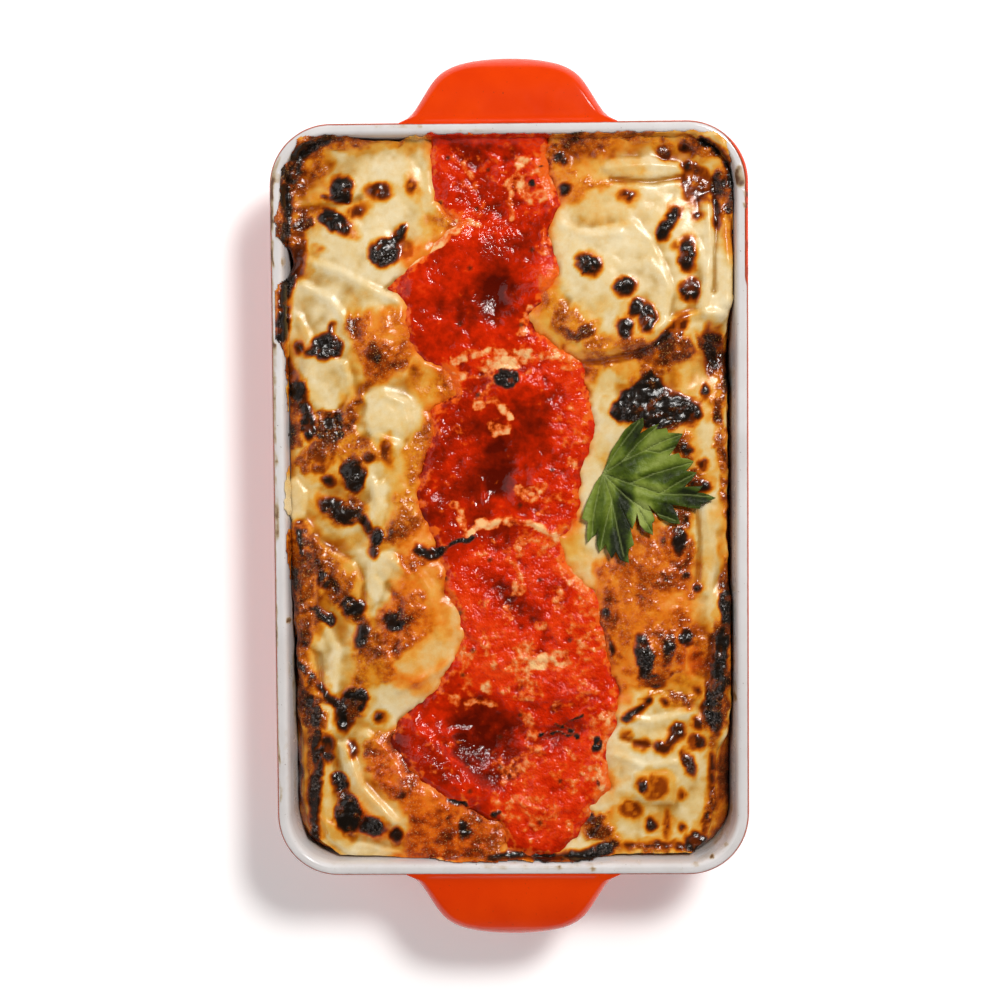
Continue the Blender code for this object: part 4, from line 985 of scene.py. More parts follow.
def make_sauce(material):
    """The band: a grid cut to the shore, a little past it, and thickened."""
    low_x, low_y = place_of(min(p[0] for p in SHORE) - 8, 862, EDGE_HEIGHT)
    high_x, high_y = place_of(max(p[0] for p in SHORE) + 8, 131, EDGE_HEIGHT)
    columns = int((high_x - low_x) / SAUCE_STEP)
    rows = int((high_y - low_y) / SAUCE_STEP)
    piece = grid_piece("tomato_sauce_band", columns, rows)
    flat = points_of(piece)
    x = low_x + (flat[:, 0] + 1) / 2 * (high_x - low_x)
    y = low_y + (flat[:, 1] + 1) / 2 * (high_y - low_y)
    top = Top(x, y)
    z = sauce_height(top)
    set_points(piece, np.stack([x, stretched(y), z], -1))
    # the hollows' depth goes along for the painted shade there
    keep_sauce_values(piece, top, hollow_share(z, columns + 1, rows + 1))
    cut_away(piece, top.shore < -7)
    thicken(piece, SAUCE_THICK)
    return finish_piece(piece, material, "tomato_sauce")


# Dish


def outer_wall(z):
    """The outside's inset from the rim's outer edge and its corner radius, at a height."""
    inset = TAPER * (DISH_HEIGHT - z) / DISH_HEIGHT
    return inset, CORNER_RADIUS - CORNER_CHANGE * (DISH_HEIGHT - z)


def dish_profile():
    """The dish's section from the foot's middle up outside, over the rim, and down inside.

    Each step is (inset from the rim's outer edge, height, corner radius, share outside).
    """
    steps = []
    # foot
    for share in np.linspace(0, 1, 9)[::-1]:
        angle = share * math.pi / 2
        z = FOOT_RADIUS * (1 - math.sin(angle))
        turned = FOOT_RADIUS * (1 - math.cos(angle))
        inset, radius = outer_wall(z)
        steps.append((inset + turned, z, radius - turned, 1.0))
    # outer wall
    low_wall = np.linspace(FOOT_RADIUS + 0.004, 0.050, 8)
    high_wall = np.linspace(0.0512, DISH_HEIGHT - LIP_ROUND, 8)
    for z in np.concatenate([low_wall, high_wall]):
        inset, radius = outer_wall(z)
        steps.append((inset, z, radius, 1.0))
    # lip, outer and inner half
    for share in np.linspace(0.125, 1, 7):
        angle = share * math.pi / 2
        inset = LIP_ROUND * (1 - math.cos(angle))
        z = DISH_HEIGHT - LIP_ROUND * (1 - math.sin(angle))
        steps.append((inset, z, CORNER_RADIUS - inset, 1.0 - share))
    for share in np.linspace(0, 1, 9):
        angle = share * math.pi / 2
        inset = WALL - LIP_ROUND * (1 - math.sin(angle)) - 0.0002 * math.sin(2 * angle)
        z = DISH_HEIGHT - LIP_ROUND * (1 - math.cos(angle))
        steps.append((inset, z, CORNER_RADIUS - inset, 0.0))
    # inner wall
    high_wall = np.linspace(0.0570, 0.040, 14)
    low_wall = np.linspace(0.036, FLOOR + FLOOR_RADIUS, 6)
    for z in np.concatenate([high_wall, low_wall]):
        inset, radius = outer_wall(z)
        steps.append((inset + WALL, z, radius - WALL, 0.0))
    # floor's rounding
    for share in np.linspace(0.2, 1, 5):
        angle = share * math.pi / 2
        z = FLOOR + FLOOR_RADIUS * (1 - math.sin(angle))
        turned = FLOOR_RADIUS * (1 - math.cos(angle))
        inset, _ = outer_wall(z)
        steps.append((inset + WALL + turned, z, CORNER_RADIUS - WALL - 0.0014 - turned, 0.0))
    return steps


def rounded_rectangle(turns, inset, radius):
    """Places round a rounded rectangle, at the shares of the way round the rim's outer edge."""
    rim_x = RIM_WIDTH / 2 - CORNER_RADIUS
    rim_y = RIM_LENGTH / 2 - CORNER_RADIUS
    arc = CORNER_RADIUS * math.pi / 2
    sides = np.array((2 * rim_y, arc, 2 * rim_x, arc) * 2)
    ends = np.concatenate([[0], np.cumsum(sides)]) / sides.sum()
    side = np.clip(np.searchsorted(ends, turns, side="right") - 1, 0, 7)
    share = (turns - ends[side]) / (ends[side + 1] - ends[side])
    half_x = RIM_WIDTH / 2 - inset - radius
    half_y = RIM_LENGTH / 2 - inset - radius
    corners = ((half_x, half_y), (-half_x, half_y), (-half_x, -half_y), (half_x, -half_y))
    x = np.zeros_like(turns)
    y = np.zeros_like(turns)
    for k in range(4):
        corner_x, corner_y = corners[k]
        before_x, before_y = corners[k - 1]
        start = math.radians(90 * k)
        on_side = side == 2 * k
        x = np.where(on_side, before_x + (corner_x - before_x) * share + radius * math.cos(start), x)
        y = np.where(on_side, before_y + (corner_y - before_y) * share + radius * math.sin(start), y)
        on_arc = side == 2 * k + 1
        angle = start + share * math.pi / 2
        x = np.where(on_arc, corner_x + radius * np.cos(angle), x)
        y = np.where(on_arc, corner_y + radius * np.sin(angle), y)
    return x, y


# Baked-on stains along the rim and the inner wall; on the right inner wall, next to the food, also painted
# shade, and a thin dark line along the left lip's outer edge
STAINS_AND_SHADE = (
    Streak(((275, 345), (274, 400), (275, 470), (277, 540)), 3.5, 0.75),
    Streak(((273, 200), (273, 260)), 2, 0.5), Streak(((287, 730), (286, 790)), 5, 0.24),
    Spot(288, 762, 3, 9, 0, 0.25), Streak(((375, 127), (420, 127)), 2.5, 0.60),
    Streak(((430, 129), (500, 130)), 2, 0.45), Spot(740, 177, 4, 11, 0, 0.90),
    Streak(((747, 240), (748, 275)), 3, 0.6), Spot(746, 194, 2, 3, 0, 0.8),
    # the streaks down the right inner wall, at x 722 to 731, are partly baked-on stain and partly painted
    # shade in the gap beside the food
    Spot(745, 204, 2, 2.5, 0, 0.8), Streak(((730, 345), (731, 460), (731, 590)), 8, 0.46),
    Streak(((731, 600), (731, 700), (730, 800), (722, 838)), 9, 0.40),
    Streak(((724, 340), (723, 460), (724, 590)), 4, 0.70),
    Streak(((722, 745), (722, 800), (718, 830)), 12, 0.50), Spot(289, 477, 2, 3, 0, 0.8),
    Spot(289, 620, 2, 3, 0, 0.8), Streak(((290, 662), (291, 676)), 3, 0.7), Spot(283, 262, 2, 4, 0, 0.7),
    Spot(290, 275, 2, 2, 0, 0.7), Streak(((281, 190), (280, 240)), 4, 0.5),
    Streak(((304, 140), (292, 156), (285, 178)), 5, 0.6), Streak(((733, 655), (734, 700)), 4, 0.8),
    Streak(((306, 826), (322, 850), (350, 860)), 5, 0.35),
    Streak(((480, 866), (560, 868), (610, 862)), 3, 0.40), Streak(((700, 860), (722, 846)), 5, 0.40),
    Streak(((700, 134), (725, 148), (738, 170)), 4, 0.45), Spot(695, 865, 3, 2.5, 0, 0.9),
    Spot(712, 857, 2, 2, 0, 0.8), Spot(726, 844, 2, 2, 0, 0.8), Spot(640, 862, 2, 2, 0, 0.7),
    Spot(515, 863, 2, 1.5, 0, 0.8), Spot(560, 868, 2, 2, 0, 0.8), Spot(593, 869, 2.5, 1.5, 0, 0.8),
    # stain and painted shade at the right inner wall's near corner
    Patch(((719, 745), (733, 745), (733, 800), (726, 838), (706, 852), (700, 846), (714, 826),
        (718, 800)), 0.46),
    # a thin dark line along the left outer edge of the lip
    Streak(((279, 158), (274, 172), (272, 190), (272, 340)), 2.2, 0.95),
    Streak(((272.5, 180), (272.5, 400), (276.5, 680), (280.5, 800)), 1.0, 0.80),
    Spot(277, 178, 4, 5, 0, 0.6),
)


def make_dish(material):
    """The dish: a disc extruded ring by ring along its section."""
    clear_selection()
    bpy.ops.mesh.primitive_circle_add(vertices=PERIMETER_STEPS, radius=0.1, fill_type="NOTHING")
    piece = bpy.context.object
    piece.name = piece.data.name = "glazed_dish"
    turns = (np.arange(PERIMETER_STEPS) + 0.5) / PERIMETER_STEPS
    steps = dish_profile()
    bpy.ops.object.mode_set(mode="EDIT")
    bpy.ops.mesh.select_mode(type="EDGE")
    bpy.ops.mesh.select_all(action="SELECT")
    bpy.ops.mesh.edge_face_add()
    for _ in steps[1:]:
        bpy.ops.mesh.extrude_region_move(TRANSFORM_OT_translate={"value": (0, 0, 0.001)})
    bpy.ops.object.mode_set(mode="OBJECT")
    points = points_of(piece)
    rings = points.reshape(len(steps), PERIMETER_STEPS, 3).copy()
    outer = np.empty((len(steps), PERIMETER_STEPS))
    for ring, (inset, z, radius, share_outside) in enumerate(steps):
        angle = np.arctan2(rings[ring, :, 1], rings[ring, :, 0])
        order = np.argsort(np.argsort((angle + 0.3) % (2 * math.pi)))
        x, y = rounded_rectangle(turns[order], inset, radius)
        rings[ring] = np.stack([x, y, np.full_like(x, z)], -1)
        outer[ring] = share_outside
    rings[:, :, 1] = stretched(rings[:, :, 1])
    set_points(piece, rings.reshape(-1, 3))
    x, y, z = rings.reshape(-1, 3).T
    outer = outer.ravel()
    px, py = pixel_of(x, y, z)
    # at the far right the orange glaze reaches further over the lip
    bared = 0.36 * smooth((px - 715) / 20) * smooth((288 - py) / 14) * smooth((py - 128) / 20)
    keep_value(piece, "outside", np.clip(outer + bared * (outer > 0), 0, 1))
    bent_x = px + 1.0 * cloud(px, py, 9, 50, 2)
    bent_y = py + 1.0 * cloud(px, py, 9, 51, 2)
    stain_and_shade = strongest(STAINS_AND_SHADE, bent_x, bent_y, 1.8) * (0.72 + 0.45 * cloud(px, py, 9, 52, 2))
    # darker towards the near end: painted shade on the near rim
    stain_and_shade = np.maximum(stain_and_shade, 0.16 * smooth((py - 840) / 25))
    # a brown film on the inner wall just over the food, and painted shade low in the gap beside the food
    film_and_shade = smooth((0.0545 - z) / 0.006) * (0.42 + 0.3 * cloud(x + y, z, 0.012, 53, 2))
    stain_and_shade = np.maximum(stain_and_shade, film_and_shade * (outer < 0.01))
    in_sight = (z > 0.030) & (outer < 0.8)
    keep_value(piece, "stain_and_shade", np.clip(np.where(in_sight, stain_and_shade, 0), 0, 1))
    bpy.ops.object.mode_set(mode="EDIT")
    bpy.ops.mesh.select_all(action="SELECT")
    bpy.ops.mesh.normals_make_consistent(inside=False)
    bpy.ops.object.mode_set(mode="OBJECT")
    return finish_piece(piece, material, "dish")


# What has baked onto the rim


def food_reach(px, py):
    """How far inside the food's outline a place is, in pixels, negative outside."""
    wander = 1.6 * cloud(px, py, 9, 80, 2) + 0.8 * cloud(px, py, 3.5, 81)
    down, across = np.array(LEFT_EDGE, float).T
    reach = px - np.interp(py, down, across)
    down, across = np.array(RIGHT_EDGE, float).T
    reach = np.minimum(reach, np.interp(py, down, across) - px)
    across, down = np.array(FAR_EDGE, float).T
    reach = np.minimum(reach, py - np.interp(px, across, down))
    across, down = np.array(NEAR_EDGE, float).T
    return np.minimum(reach, np.interp(px, across, down) - py) + wander


def make_crust(name, sauce, material):
    """The food that lies over the rim's inner edge: tomato sauce, or baked white sauce."""
    section = [step for step in dish_profile() if step[3] == 0.0 and step[1] > CRUST_LOWEST]
    steps = np.linspace(0, len(section) - 1, CRUST_STEPS + 1)
    inset, height, radius = [
        np.interp(steps, np.arange(len(section)), values) for values in np.array(section)[:, :3].T
    ]
    inward = np.gradient(inset)
    downward = -np.gradient(height)
    length = np.hypot(inward, downward)
    piece = grid_piece(name, CRUST_STEPS, CRUST_TURNS)
    turns = np.minimum(np.linspace(0, 1, CRUST_TURNS + 1), 0.999999)
    x = np.empty((CRUST_TURNS + 1, CRUST_STEPS + 1))
    y = np.empty_like(x)
    z = np.empty_like(x)
    for step in range(CRUST_STEPS + 1):
        flat_x, flat_y = rounded_rectangle(turns, inset[step], radius[step])
        px, py = pixel_of(flat_x, flat_y, np.full_like(flat_x, height[step]))
        lumps = 0.55 + 0.35 * cloud(px, py, 6, 82, 2)
        bulk = (0.25 + smooth(food_reach(px, py) / 5) * lumps) * MM
        grown = inset[step] + bulk * downward[step] / length[step]
        x[:, step], y[:, step] = rounded_rectangle(turns, grown, radius[step])
        z[:, step] = height[step] + bulk * inward[step] / length[step]
    x = x.ravel()
    y = stretched(y.ravel())
    z = z.ravel()
    set_points(piece, np.stack([x, y, z], -1))
    top = Top(x, y, z)
    none = np.zeros_like(x)
    if sauce:
        keep_sauce_values(piece, top, none)
        other = top.shore < -1
        node = "tomato_sauce"
    else:
        keep_baked_values(piece, top, top.toast, top.grain, none)
        other = top.shore > 1
        node = "lasagna"
    cut_away(piece, (food_reach(top.px, top.py) < 0) | other)
    thicken(piece, CRUST_THICK)
    return finish_piece(piece, material, node)


# Ears


def ear_half_width(out):
    """Half of the ear's width at a distance out from the rim."""
    reach = np.clip(out / EAR_REACH, 0, 1)
    tapered = 0.040 - 0.58 * np.maximum(out, 0)
    tip = np.sqrt(np.maximum(1 - reach ** 8.5, 0))
    flare = 0.004 * np.exp(-np.maximum(out, -0.001) / 0.002)
    return tapered * tip + flare


def ear_reach(turn):
    """How far the ear's outline is from its centre, in each direction round it."""
    side = np.linspace(EAR_ROOT, 0.0225, 60)
    tip = EAR_REACH - 0.002 * (1 - np.linspace(0, 1, 30)) ** 2
    outs = np.concatenate([side, tip])
    widths = ear_half_width(outs)
    root = np.linspace(-1, 1, 80)
    loop_x = np.concatenate([root * widths[0], widths, -widths[::-1]])
    loop_out = np.concatenate([np.full(len(root), EAR_ROOT), outs, outs[::-1]]) - EAR_CENTRE
    angles = np.arctan2(loop_out, loop_x)
    order = np.argsort(angles)
    angles = angles[order]
    lengths = np.hypot(loop_x, loop_out)[order]
    angles = np.concatenate([angles - 2 * math.pi, angles, angles + 2 * math.pi])
    return np.interp(turn, angles, np.tile(lengths, 3))


def make_ear(name, side, material):
    """One ear: a ball flattened and spread to the ear's outline."""
    clear_selection()
    bpy.ops.mesh.primitive_uv_sphere_add(segments=160, ring_count=64, radius=1)
    piece = bpy.context.object
    piece.name = piece.data.name = name
    ball_x, ball_y, ball_z = points_of(piece).T
    turn = np.arctan2(ball_y, ball_x)
    level = np.arcsin(np.clip(ball_z, -1, 1)) / (math.pi / 2)
    # from the ball's pole outwards: first the flat face, then the edge that turns over
    outward = 1 - np.abs(level)
    on_face = outward < 0.45
    share = np.clip(outward / 0.45, 0, 1)
    bend = np.clip((outward - 0.45) / 0.55, 0, 1) * math.pi / 2
    face_reach = ear_reach(turn) - EAR_EDGE
    radial = np.where(on_face, share * face_reach, face_reach + EAR_EDGE * np.sin(bend))
    rise = np.where(on_face, 1.0, np.cos(bend))
    x = radial * np.cos(turn)
    out = EAR_CENTRE + radial * np.sin(turn)
    past_rim = np.clip(out, 0, None)
    fillet = 0.0016 * np.exp(-past_rim / 0.0016)
    middle = DISH_HEIGHT - EAR_BELOW_RIM - EAR_THICK / 2
    sag = EAR_SAG * 1.2 * (past_rim / EAR_REACH) ** 2.6
    z = middle - sag + np.sign(level) * rise * EAR_THICK / 2 + np.where(level > 0, fillet, -fillet)
    y = RIM_LENGTH / 2 + out + (NEAR_SHIFT if side < 0 else 0)
    set_points(piece, np.stack([side * x, side * y, z], -1))
    keep_value(piece, "outside", np.ones_like(x))
    # darker where the ear's edge turns over
    keep_value(piece, "stain_and_shade", 0.55 * smooth((bend - 0.75) / 0.8) * (out > 0.0005))
    return finish_piece(piece, material, "dish")


# Parsley leaf

LEAF_OUTLINE = (
    (603, 474), (608, 462), (612, 450), (619, 440), (625, 430), (632, 424), (643, 418), (644, 426),
    (640, 434), (650, 428), (659, 424), (656, 430), (667, 428), (668, 433), (683, 434), (679, 441),
    (676, 447), (669, 456), (679, 453), (681, 458), (688, 459), (694, 462), (691, 466), (686, 471),
    (697, 473), (692, 480), (684, 487), (703, 486), (699, 491), (697, 493), (704, 493.5), (716, 498),
    (706, 503), (701, 504), (700, 509), (690, 508), (680, 506), (672, 505), (675, 510), (678, 517),
    (680, 524), (670, 523), (660, 518), (655, 512), (648, 505), (652, 512), (655, 520), (652, 524),
    (653, 535), (645, 531), (640, 525), (637, 513), (636, 520), (632, 530), (626, 516), (620, 504),
    (625, 515), (630, 526), (634, 545), (629, 549), (628, 555), (629, 563), (620, 560), (616, 552),
    (612, 559), (607, 550), (606, 545), (600, 553), (597, 545), (598, 530), (596, 535), (588, 543),
    (587, 535), (588, 523), (582, 519), (584, 510), (588, 500), (592, 492), (596, 483),
)
# Painted shade on the leaf's shaded folds and where its lobes overlap, and painted light where it is lit
LEAF_SHADED = (
    Spot(622, 522, 7, 34, 8, 1.0), Spot(690, 499, 16, 6, 8, 0.8), Spot(672, 512, 10, 8, 0, 0.7),
    Spot(612, 540, 6, 16, 0, 0.6), Spot(664, 474, 16, 5, -10, 0.7), Spot(636, 436, 7, 12, 30, 0.6),
    Spot(676, 443, 9, 5, -25, 0.6), Spot(600, 520, 5, 20, 8, 0.5), Spot(630, 466, 16, 4, -25, 0.6),
    Spot(688, 482, 9, 4, 0, 0.6),
)
LEAF_LIT = (
    Spot(641, 514, 9, 11, 0, 1.0), Spot(655, 442, 14, 8, -20, 0.7), Spot(592, 512, 5, 20, 10, 0.6),
    Spot(640, 486, 22, 5, 15, 0.7), Spot(660, 462, 14, 6, -15, 0.6), Spot(610, 510, 4, 26, 5, 0.4),
    Spot(682, 462, 8, 5, -10, 0.4),
)
VEINS = (
    ((603, 474), (630, 484), (660, 494), (690, 495), (712, 497)),
    ((603, 474), (612, 500), (618, 530), (624, 556)),
    ((604, 474), (622, 462), (645, 451), (664, 441), (681, 435)),
    ((604, 472), (618, 450), (630, 434), (640, 421)), ((603, 475), (598, 495), (594, 515), (592, 538)),
    ((604, 475), (625, 496), (645, 510), (676, 521)), ((622, 462), (640, 442), (657, 427)),
    ((645, 451), (660, 453), (676, 447)), ((630, 484), (655, 474), (692, 463)),
    ((625, 496), (638, 508), (652, 533)), ((612, 500), (606, 525), (601, 550)),
    ((660, 494), (680, 482), (695, 474)),
)
LEAF_HEIGHT = 0.0575


def leaf_support(x, y):
    """Height that the leaf rests on: the highest of the food round each place."""
    best = np.zeros_like(x)
    total = np.zeros_like(x)
    for turn in range(8):
        angle = math.pi / 4 * turn
        near = base_height(x + 0.005 * math.cos(angle), y + 0.005 * math.sin(angle))
        best = np.maximum(best, near)
        total = total + near
    return 0.5 * best + 0.5 * total / 8 + 0.0006


def make_leaf(material):
    """The outline filled with fine triangles, waved along its veins, with its thickness added."""
    outline = [Vector(point) for point in LEAF_OUTLINE]
    border = []
    for start, end in zip(outline, outline[1:] + outline[:1]):
        steps = max(1, round((end - start).length / 1.4))
        border += [start.lerp(end, step / steps) for step in range(steps)]
    pitch = 1.5
    gx, gy = np.meshgrid(np.arange(578, 720, pitch), np.arange(414, 568, pitch))
    gx = gx.ravel() + 0.3 * cloud(gx.ravel(), gy.ravel(), 2, 60)
    gy = gy.ravel() + 0.3 * cloud(gx.ravel(), gy.ravel(), 2, 61)
    keep = inside(LEAF_OUTLINE, gx, gy) & (line_distance(LEAF_OUTLINE, gx, gy, closed=True) > 0.6)
    inner = [Vector((a, b)) for a, b in zip(gx[keep], gy[keep])]
    points, _, faces, *_ = geometry.delaunay_2d_cdt(border + inner, [], [range(len(border))], 1, 1e-5)
    px = np.array([p[0] for p in points])
    py = np.array([p[1] for p in points])
    x, y = place_of(px, py, LEAF_HEIGHT)
    support = leaf_support(x, y)
    vein = np.full_like(px, 1e6)
    for line in VEINS:
        vein = np.minimum(vein, line_distance(line, px, py))
    from_stem = np.hypot(px - LEAF_STEM[0], py - LEAF_STEM[1])
    z = support + 0.0011 + 0.0011 * smooth(vein / 7) - 0.0005 * np.exp(-((vein / 1.6) ** 2))
    z = z + 0.0011 * cloud(px, py, 24, 62) * smooth(from_stem / 30) + 0.0016 * smooth((from_stem - 60) / 60)
    z = z + 0.00018 * cloud(px, py, 4, 63)
    mesh = bpy.data.meshes.new("flat_parsley")
    mesh.from_pydata([tuple(p) for p in np.stack([x, y, z], -1)], [], [tuple(face) for face in faces])
    piece = bpy.data.objects.new("flat_parsley", mesh)
    bpy.context.scene.collection.objects.link(piece)
    clear_selection()
    piece.select_set(True)
    bpy.context.view_layer.objects.active = piece
    bpy.ops.object.mode_set(mode="EDIT")
    bpy.ops.mesh.select_all(action="SELECT")
    bpy.ops.mesh.normals_make_consistent(inside=False)
    bpy.ops.object.mode_set(mode="OBJECT")
    if piece.data.polygons[0].normal.z < 0:
        piece.data.flip_normals()
    keep_value(piece, "vein", np.exp(-((vein / 0.9) ** 2)))
    # painted shade and painted light, kept for the leaf's colour
    for value, marks, seed in (("shaded", LEAF_SHADED, 64), ("lit", LEAF_LIT, 66)):
        bent_x = px + 2 * cloud(px, py, 9, seed)
        bent_y = py + 2 * cloud(px, py, 9, seed + 1)
        keep_value(piece, value, strongest(marks, bent_x, bent_y, 7))
    blade = piece.modifiers.new("blade", "SOLIDIFY")
    blade.thickness = LEAF_THICK
    blade.offset = 0
    bpy.ops.object.modifier_apply(modifier="blade")
    return finish_piece(piece, material, "parsley_leaf")


# Materials


def new_material(name):
    """A material with only its surface shader."""
    material = bpy.data.materials.new(name)
    material.use_nodes = True
    nodes = material.node_tree.nodes
    nodes.clear()
    output = nodes.new("ShaderNodeOutputMaterial")
    shader = nodes.new("ShaderNodeBsdfPrincipled")
    material.node_tree.links.new(shader.outputs[0], output.inputs["Surface"])
    return material, shader


class Wiring:
    """Short ways to add nodes to a tree."""

    def __init__(self, tree):
        self.tree = tree

    def link(self, value, socket):
        """Joins another node's output to a socket, or sets a number or colour on it."""
        if value is None:
            return
        if isinstance(value, bpy.types.NodeSocket):
            self.tree.links.new(value, socket)
        elif isinstance(value, tuple):
            socket.default_value = (*value, 1)
        else:
            socket.default_value = value

    def math(self, operation, a, b=None, c=None, clamp=False):
        node = self.tree.nodes.new("ShaderNodeMath")
        node.operation = operation
        node.use_clamp = clamp
        for value, socket in zip((a, b, c), node.inputs):
            self.link(value, socket)
        return node.outputs[0]

    def about_zero(self, noise):
        """A noise with its middle brought to 0."""
        return self.math("SUBTRACT", noise, 0.5)

    def mix(self, share, a, b, blend="MIX"):
        """Colour a turned into colour b by the share."""
        node = self.tree.nodes.new("ShaderNodeMix")
        node.data_type = "RGBA"
        node.blend_type = blend
        self.link(share, node.inputs["Factor"])
        self.link(a, node.inputs["A"])
        self.link(b, node.inputs["B"])
        return [out for out in node.outputs if out.type == "RGBA"][0]

    def ramp(self, value, stops):
        """A colour or grey that runs through the stops as the value grows."""
        node = self.tree.nodes.new("ShaderNodeValToRGB")
        elements = node.color_ramp.elements
        while len(elements) < len(stops):
            elements.new(0.5)
        for element, (place, colour) in zip(elements, stops):
            element.position = place
            rgb = colour if isinstance(colour, tuple) else (colour, colour, colour)
            element.color = (*rgb, 1)
        self.link(value, node.inputs[0])
        return node.outputs[0]

    def between(self, value, low, high):
        """0 at the low value and 1 at the high one, eased."""
        node = self.tree.nodes.new("ShaderNodeMapRange")
        node.interpolation_type = "SMOOTHSTEP"
        self.link(value, node.inputs["Value"])
        self.link(low, node.inputs["From Min"])
        self.link(high, node.inputs["From Max"])
        return node.outputs[0]

    def noise(self, scale, detail, roughness):
        """Noise over the object's own coordinates; the scale is in lumps for each metre."""
        node = self.tree.nodes.new("ShaderNodeTexNoise")
        self.link(self.object_place(), node.inputs["Vector"])
        node.inputs["Scale"].default_value = scale
        node.inputs["Detail"].default_value = detail
        node.inputs["Roughness"].default_value = roughness
        return node.outputs[0]

    def cells(self, scale):
        """Distance to the middle of scattered cells."""
        node = self.tree.nodes.new("ShaderNodeTexVoronoi")
        self.link(self.object_place(), node.inputs["Vector"])
        node.inputs["Scale"].default_value = scale
        return node.outputs["Distance"]

    def object_place(self):
        node = self.tree.nodes.new("ShaderNodeTexCoord")
        return node.outputs["Object"]

    def attribute(self, name):
        """A value kept at the piece's points."""
        node = self.tree.nodes.new("ShaderNodeAttribute")
        node.attribute_name = name
        return node.outputs["Fac"]

    def bump(self, height, distance):
        """The normal of a fine relief; the distance is its depth in metres."""
        node = self.tree.nodes.new("ShaderNodeBump")
        node.inputs["Distance"].default_value = distance
        node.inputs["Strength"].default_value = 1.0
        self.link(height, node.inputs["Height"])
        return node.outputs[0]


# Browning from pale to black, as (share, linear colour): of white sauce, and of white sauce with tomato
PLAIN_BROWNING = (
    (0.00, (0.78, 0.640, 0.39)), (0.12, (0.71, 0.500, 0.20)), (0.22, (0.70, 0.370, 0.065)),
    (0.33, (0.68, 0.230, 0.010)), (0.44, (0.48, 0.105, 0.003)), (0.55, (0.26, 0.042, 0.002)),
    (0.67, (0.095, 0.015, 0.0015)), (0.80, (0.026, 0.008, 0.002)), (1.00, (0.008, 0.005, 0.003)),
)
TINTED_BROWNING = (
    (0.00, (0.78, 0.480, 0.18)), (0.12, (0.80, 0.330, 0.060)), (0.22, (0.80, 0.220, 0.016)),
    (0.33, (0.72, 0.125, 0.005)), (0.44, (0.50, 0.063, 0.002)), (0.55, (0.26, 0.027, 0.0015)),
    (0.67, (0.095, 0.011, 0.0015)), (0.80, (0.026, 0.006, 0.002)), (1.00, (0.008, 0.005, 0.003)),
)


def baked_material():
    """White sauce and pasta: cream where it is pale, grainy where golden, and crackled where burnt."""
    material, shader = new_material("baked white sauce and pasta")
    wires = Wiring(material.node_tree)
    toast = wires.attribute("toast")
    tint = wires.attribute("tint")
    grain = wires.attribute("grain")
    char = wires.attribute("char")
    hollow_shade = wires.attribute("hollow_shade")
    fine = wires.noise(1500, 4, 0.6)
    middle = wires.noise(380, 4, 0.6)
    broad = wires.noise(120, 3, 0.5)

    # the kept browning, made uneven at three sizes, more so where it is grainy
    fine_share = wires.math("MULTIPLY_ADD", grain, 0.14, 0.04)
    middle_share = wires.math("MULTIPLY_ADD", grain, 0.42, 0.12)
    level = wires.math("MULTIPLY_ADD", wires.about_zero(fine), fine_share, toast)
    level = wires.math("MULTIPLY_ADD", wires.about_zero(middle), middle_share, level)
    # more browning in the hollows: painted shade
    level = wires.math("MULTIPLY_ADD", hollow_shade, 0.12, level)
    level = wires.math("MULTIPLY_ADD", wires.about_zero(broad), 0.14, level, clamp=True)
    plain = wires.ramp(level, PLAIN_BROWNING)
    tinted = wires.ramp(level, TINTED_BROWNING)
    tinted_share = wires.math("MULTIPLY_ADD", wires.about_zero(middle), 0.5, tint, clamp=True)
    colour = wires.mix(tinted_share, plain, tinted)

    # pale dots in the grain as painted highlights, painted shade in the hollows, and painted glints as pale
    # grey specks on the crinkled black
    # painted highlights: pale dots on the grain's tops
    painted_grain_glints = wires.math("MULTIPLY", wires.between(fine, 0.56, 0.67), wires.math("MULTIPLY", grain, 0.48))
    colour = wires.mix(painted_grain_glints, colour, (0.80, 0.40, 0.12))
    # painted shade: darker and olive in the hollows
    colour = wires.mix(wires.math("MULTIPLY", hollow_shade, 0.75), colour, (0.42, 0.30, 0.12), blend="MULTIPLY")
    crinkled = wires.math("MULTIPLY", wires.between(wires.noise(85, 2, 0.5), 0.52, 0.60), char)
    # painted glints: pale grey specks on the crinkled black
    painted_glint_share = wires.math("MULTIPLY", crinkled, 0.30)
    painted_glints = wires.math("MULTIPLY", wires.between(wires.noise(900, 3, 0.7), 0.52, 0.60), painted_glint_share)
    colour = wires.mix(painted_glints, colour, (0.24, 0.19, 0.17))
    wires.link(colour, shader.inputs["Base Color"])

    rough = wires.math("MULTIPLY_ADD", wires.between(level, 0.2, 0.6), -0.10, 0.24)
    rough = wires.math("MULTIPLY_ADD", fine, 0.06, rough)
    rough = wires.math("MULTIPLY_ADD", char, 0.08, rough)
    wires.link(rough, shader.inputs["Roughness"])
    shader.inputs["Specular IOR Level"].default_value = 0.30

    # fine relief: beads in the grain, and crackle in the black
    beads = wires.noise(640, 1, 0.4)
    height = wires.math("MULTIPLY", beads, wires.math("MULTIPLY_ADD", grain, 0.40, 0.04))
    crackle = wires.math("MULTIPLY", wires.cells(650), crinkled)
    height = wires.math("MULTIPLY_ADD", crackle, 0.50, height)
    rugged = wires.math("MULTIPLY_ADD", char, 0.6, grain)
    height = wires.math("MULTIPLY_ADD", wires.math("MULTIPLY", middle, 0.26), rugged, height)
    wires.link(wires.bump(height, 0.0010), shader.inputs["Normal"])
    return material


# Tomato from its deep hollows, darker where it lies thick and with painted shade in its crevices, to its
# bright lumps, as (share, linear colour)
TOMATO_REDS = (
    (0.00, (0.095, 0.0040, 0.0006)), (0.25, (0.215, 0.0080, 0.0006)), (0.42, (0.385, 0.0120, 0.0006)),
    (0.58, (0.590, 0.0180, 0.0010)), (0.76, (0.740, 0.0420, 0.0040)), (1.00, (0.820, 0.115, 0.020)),
)


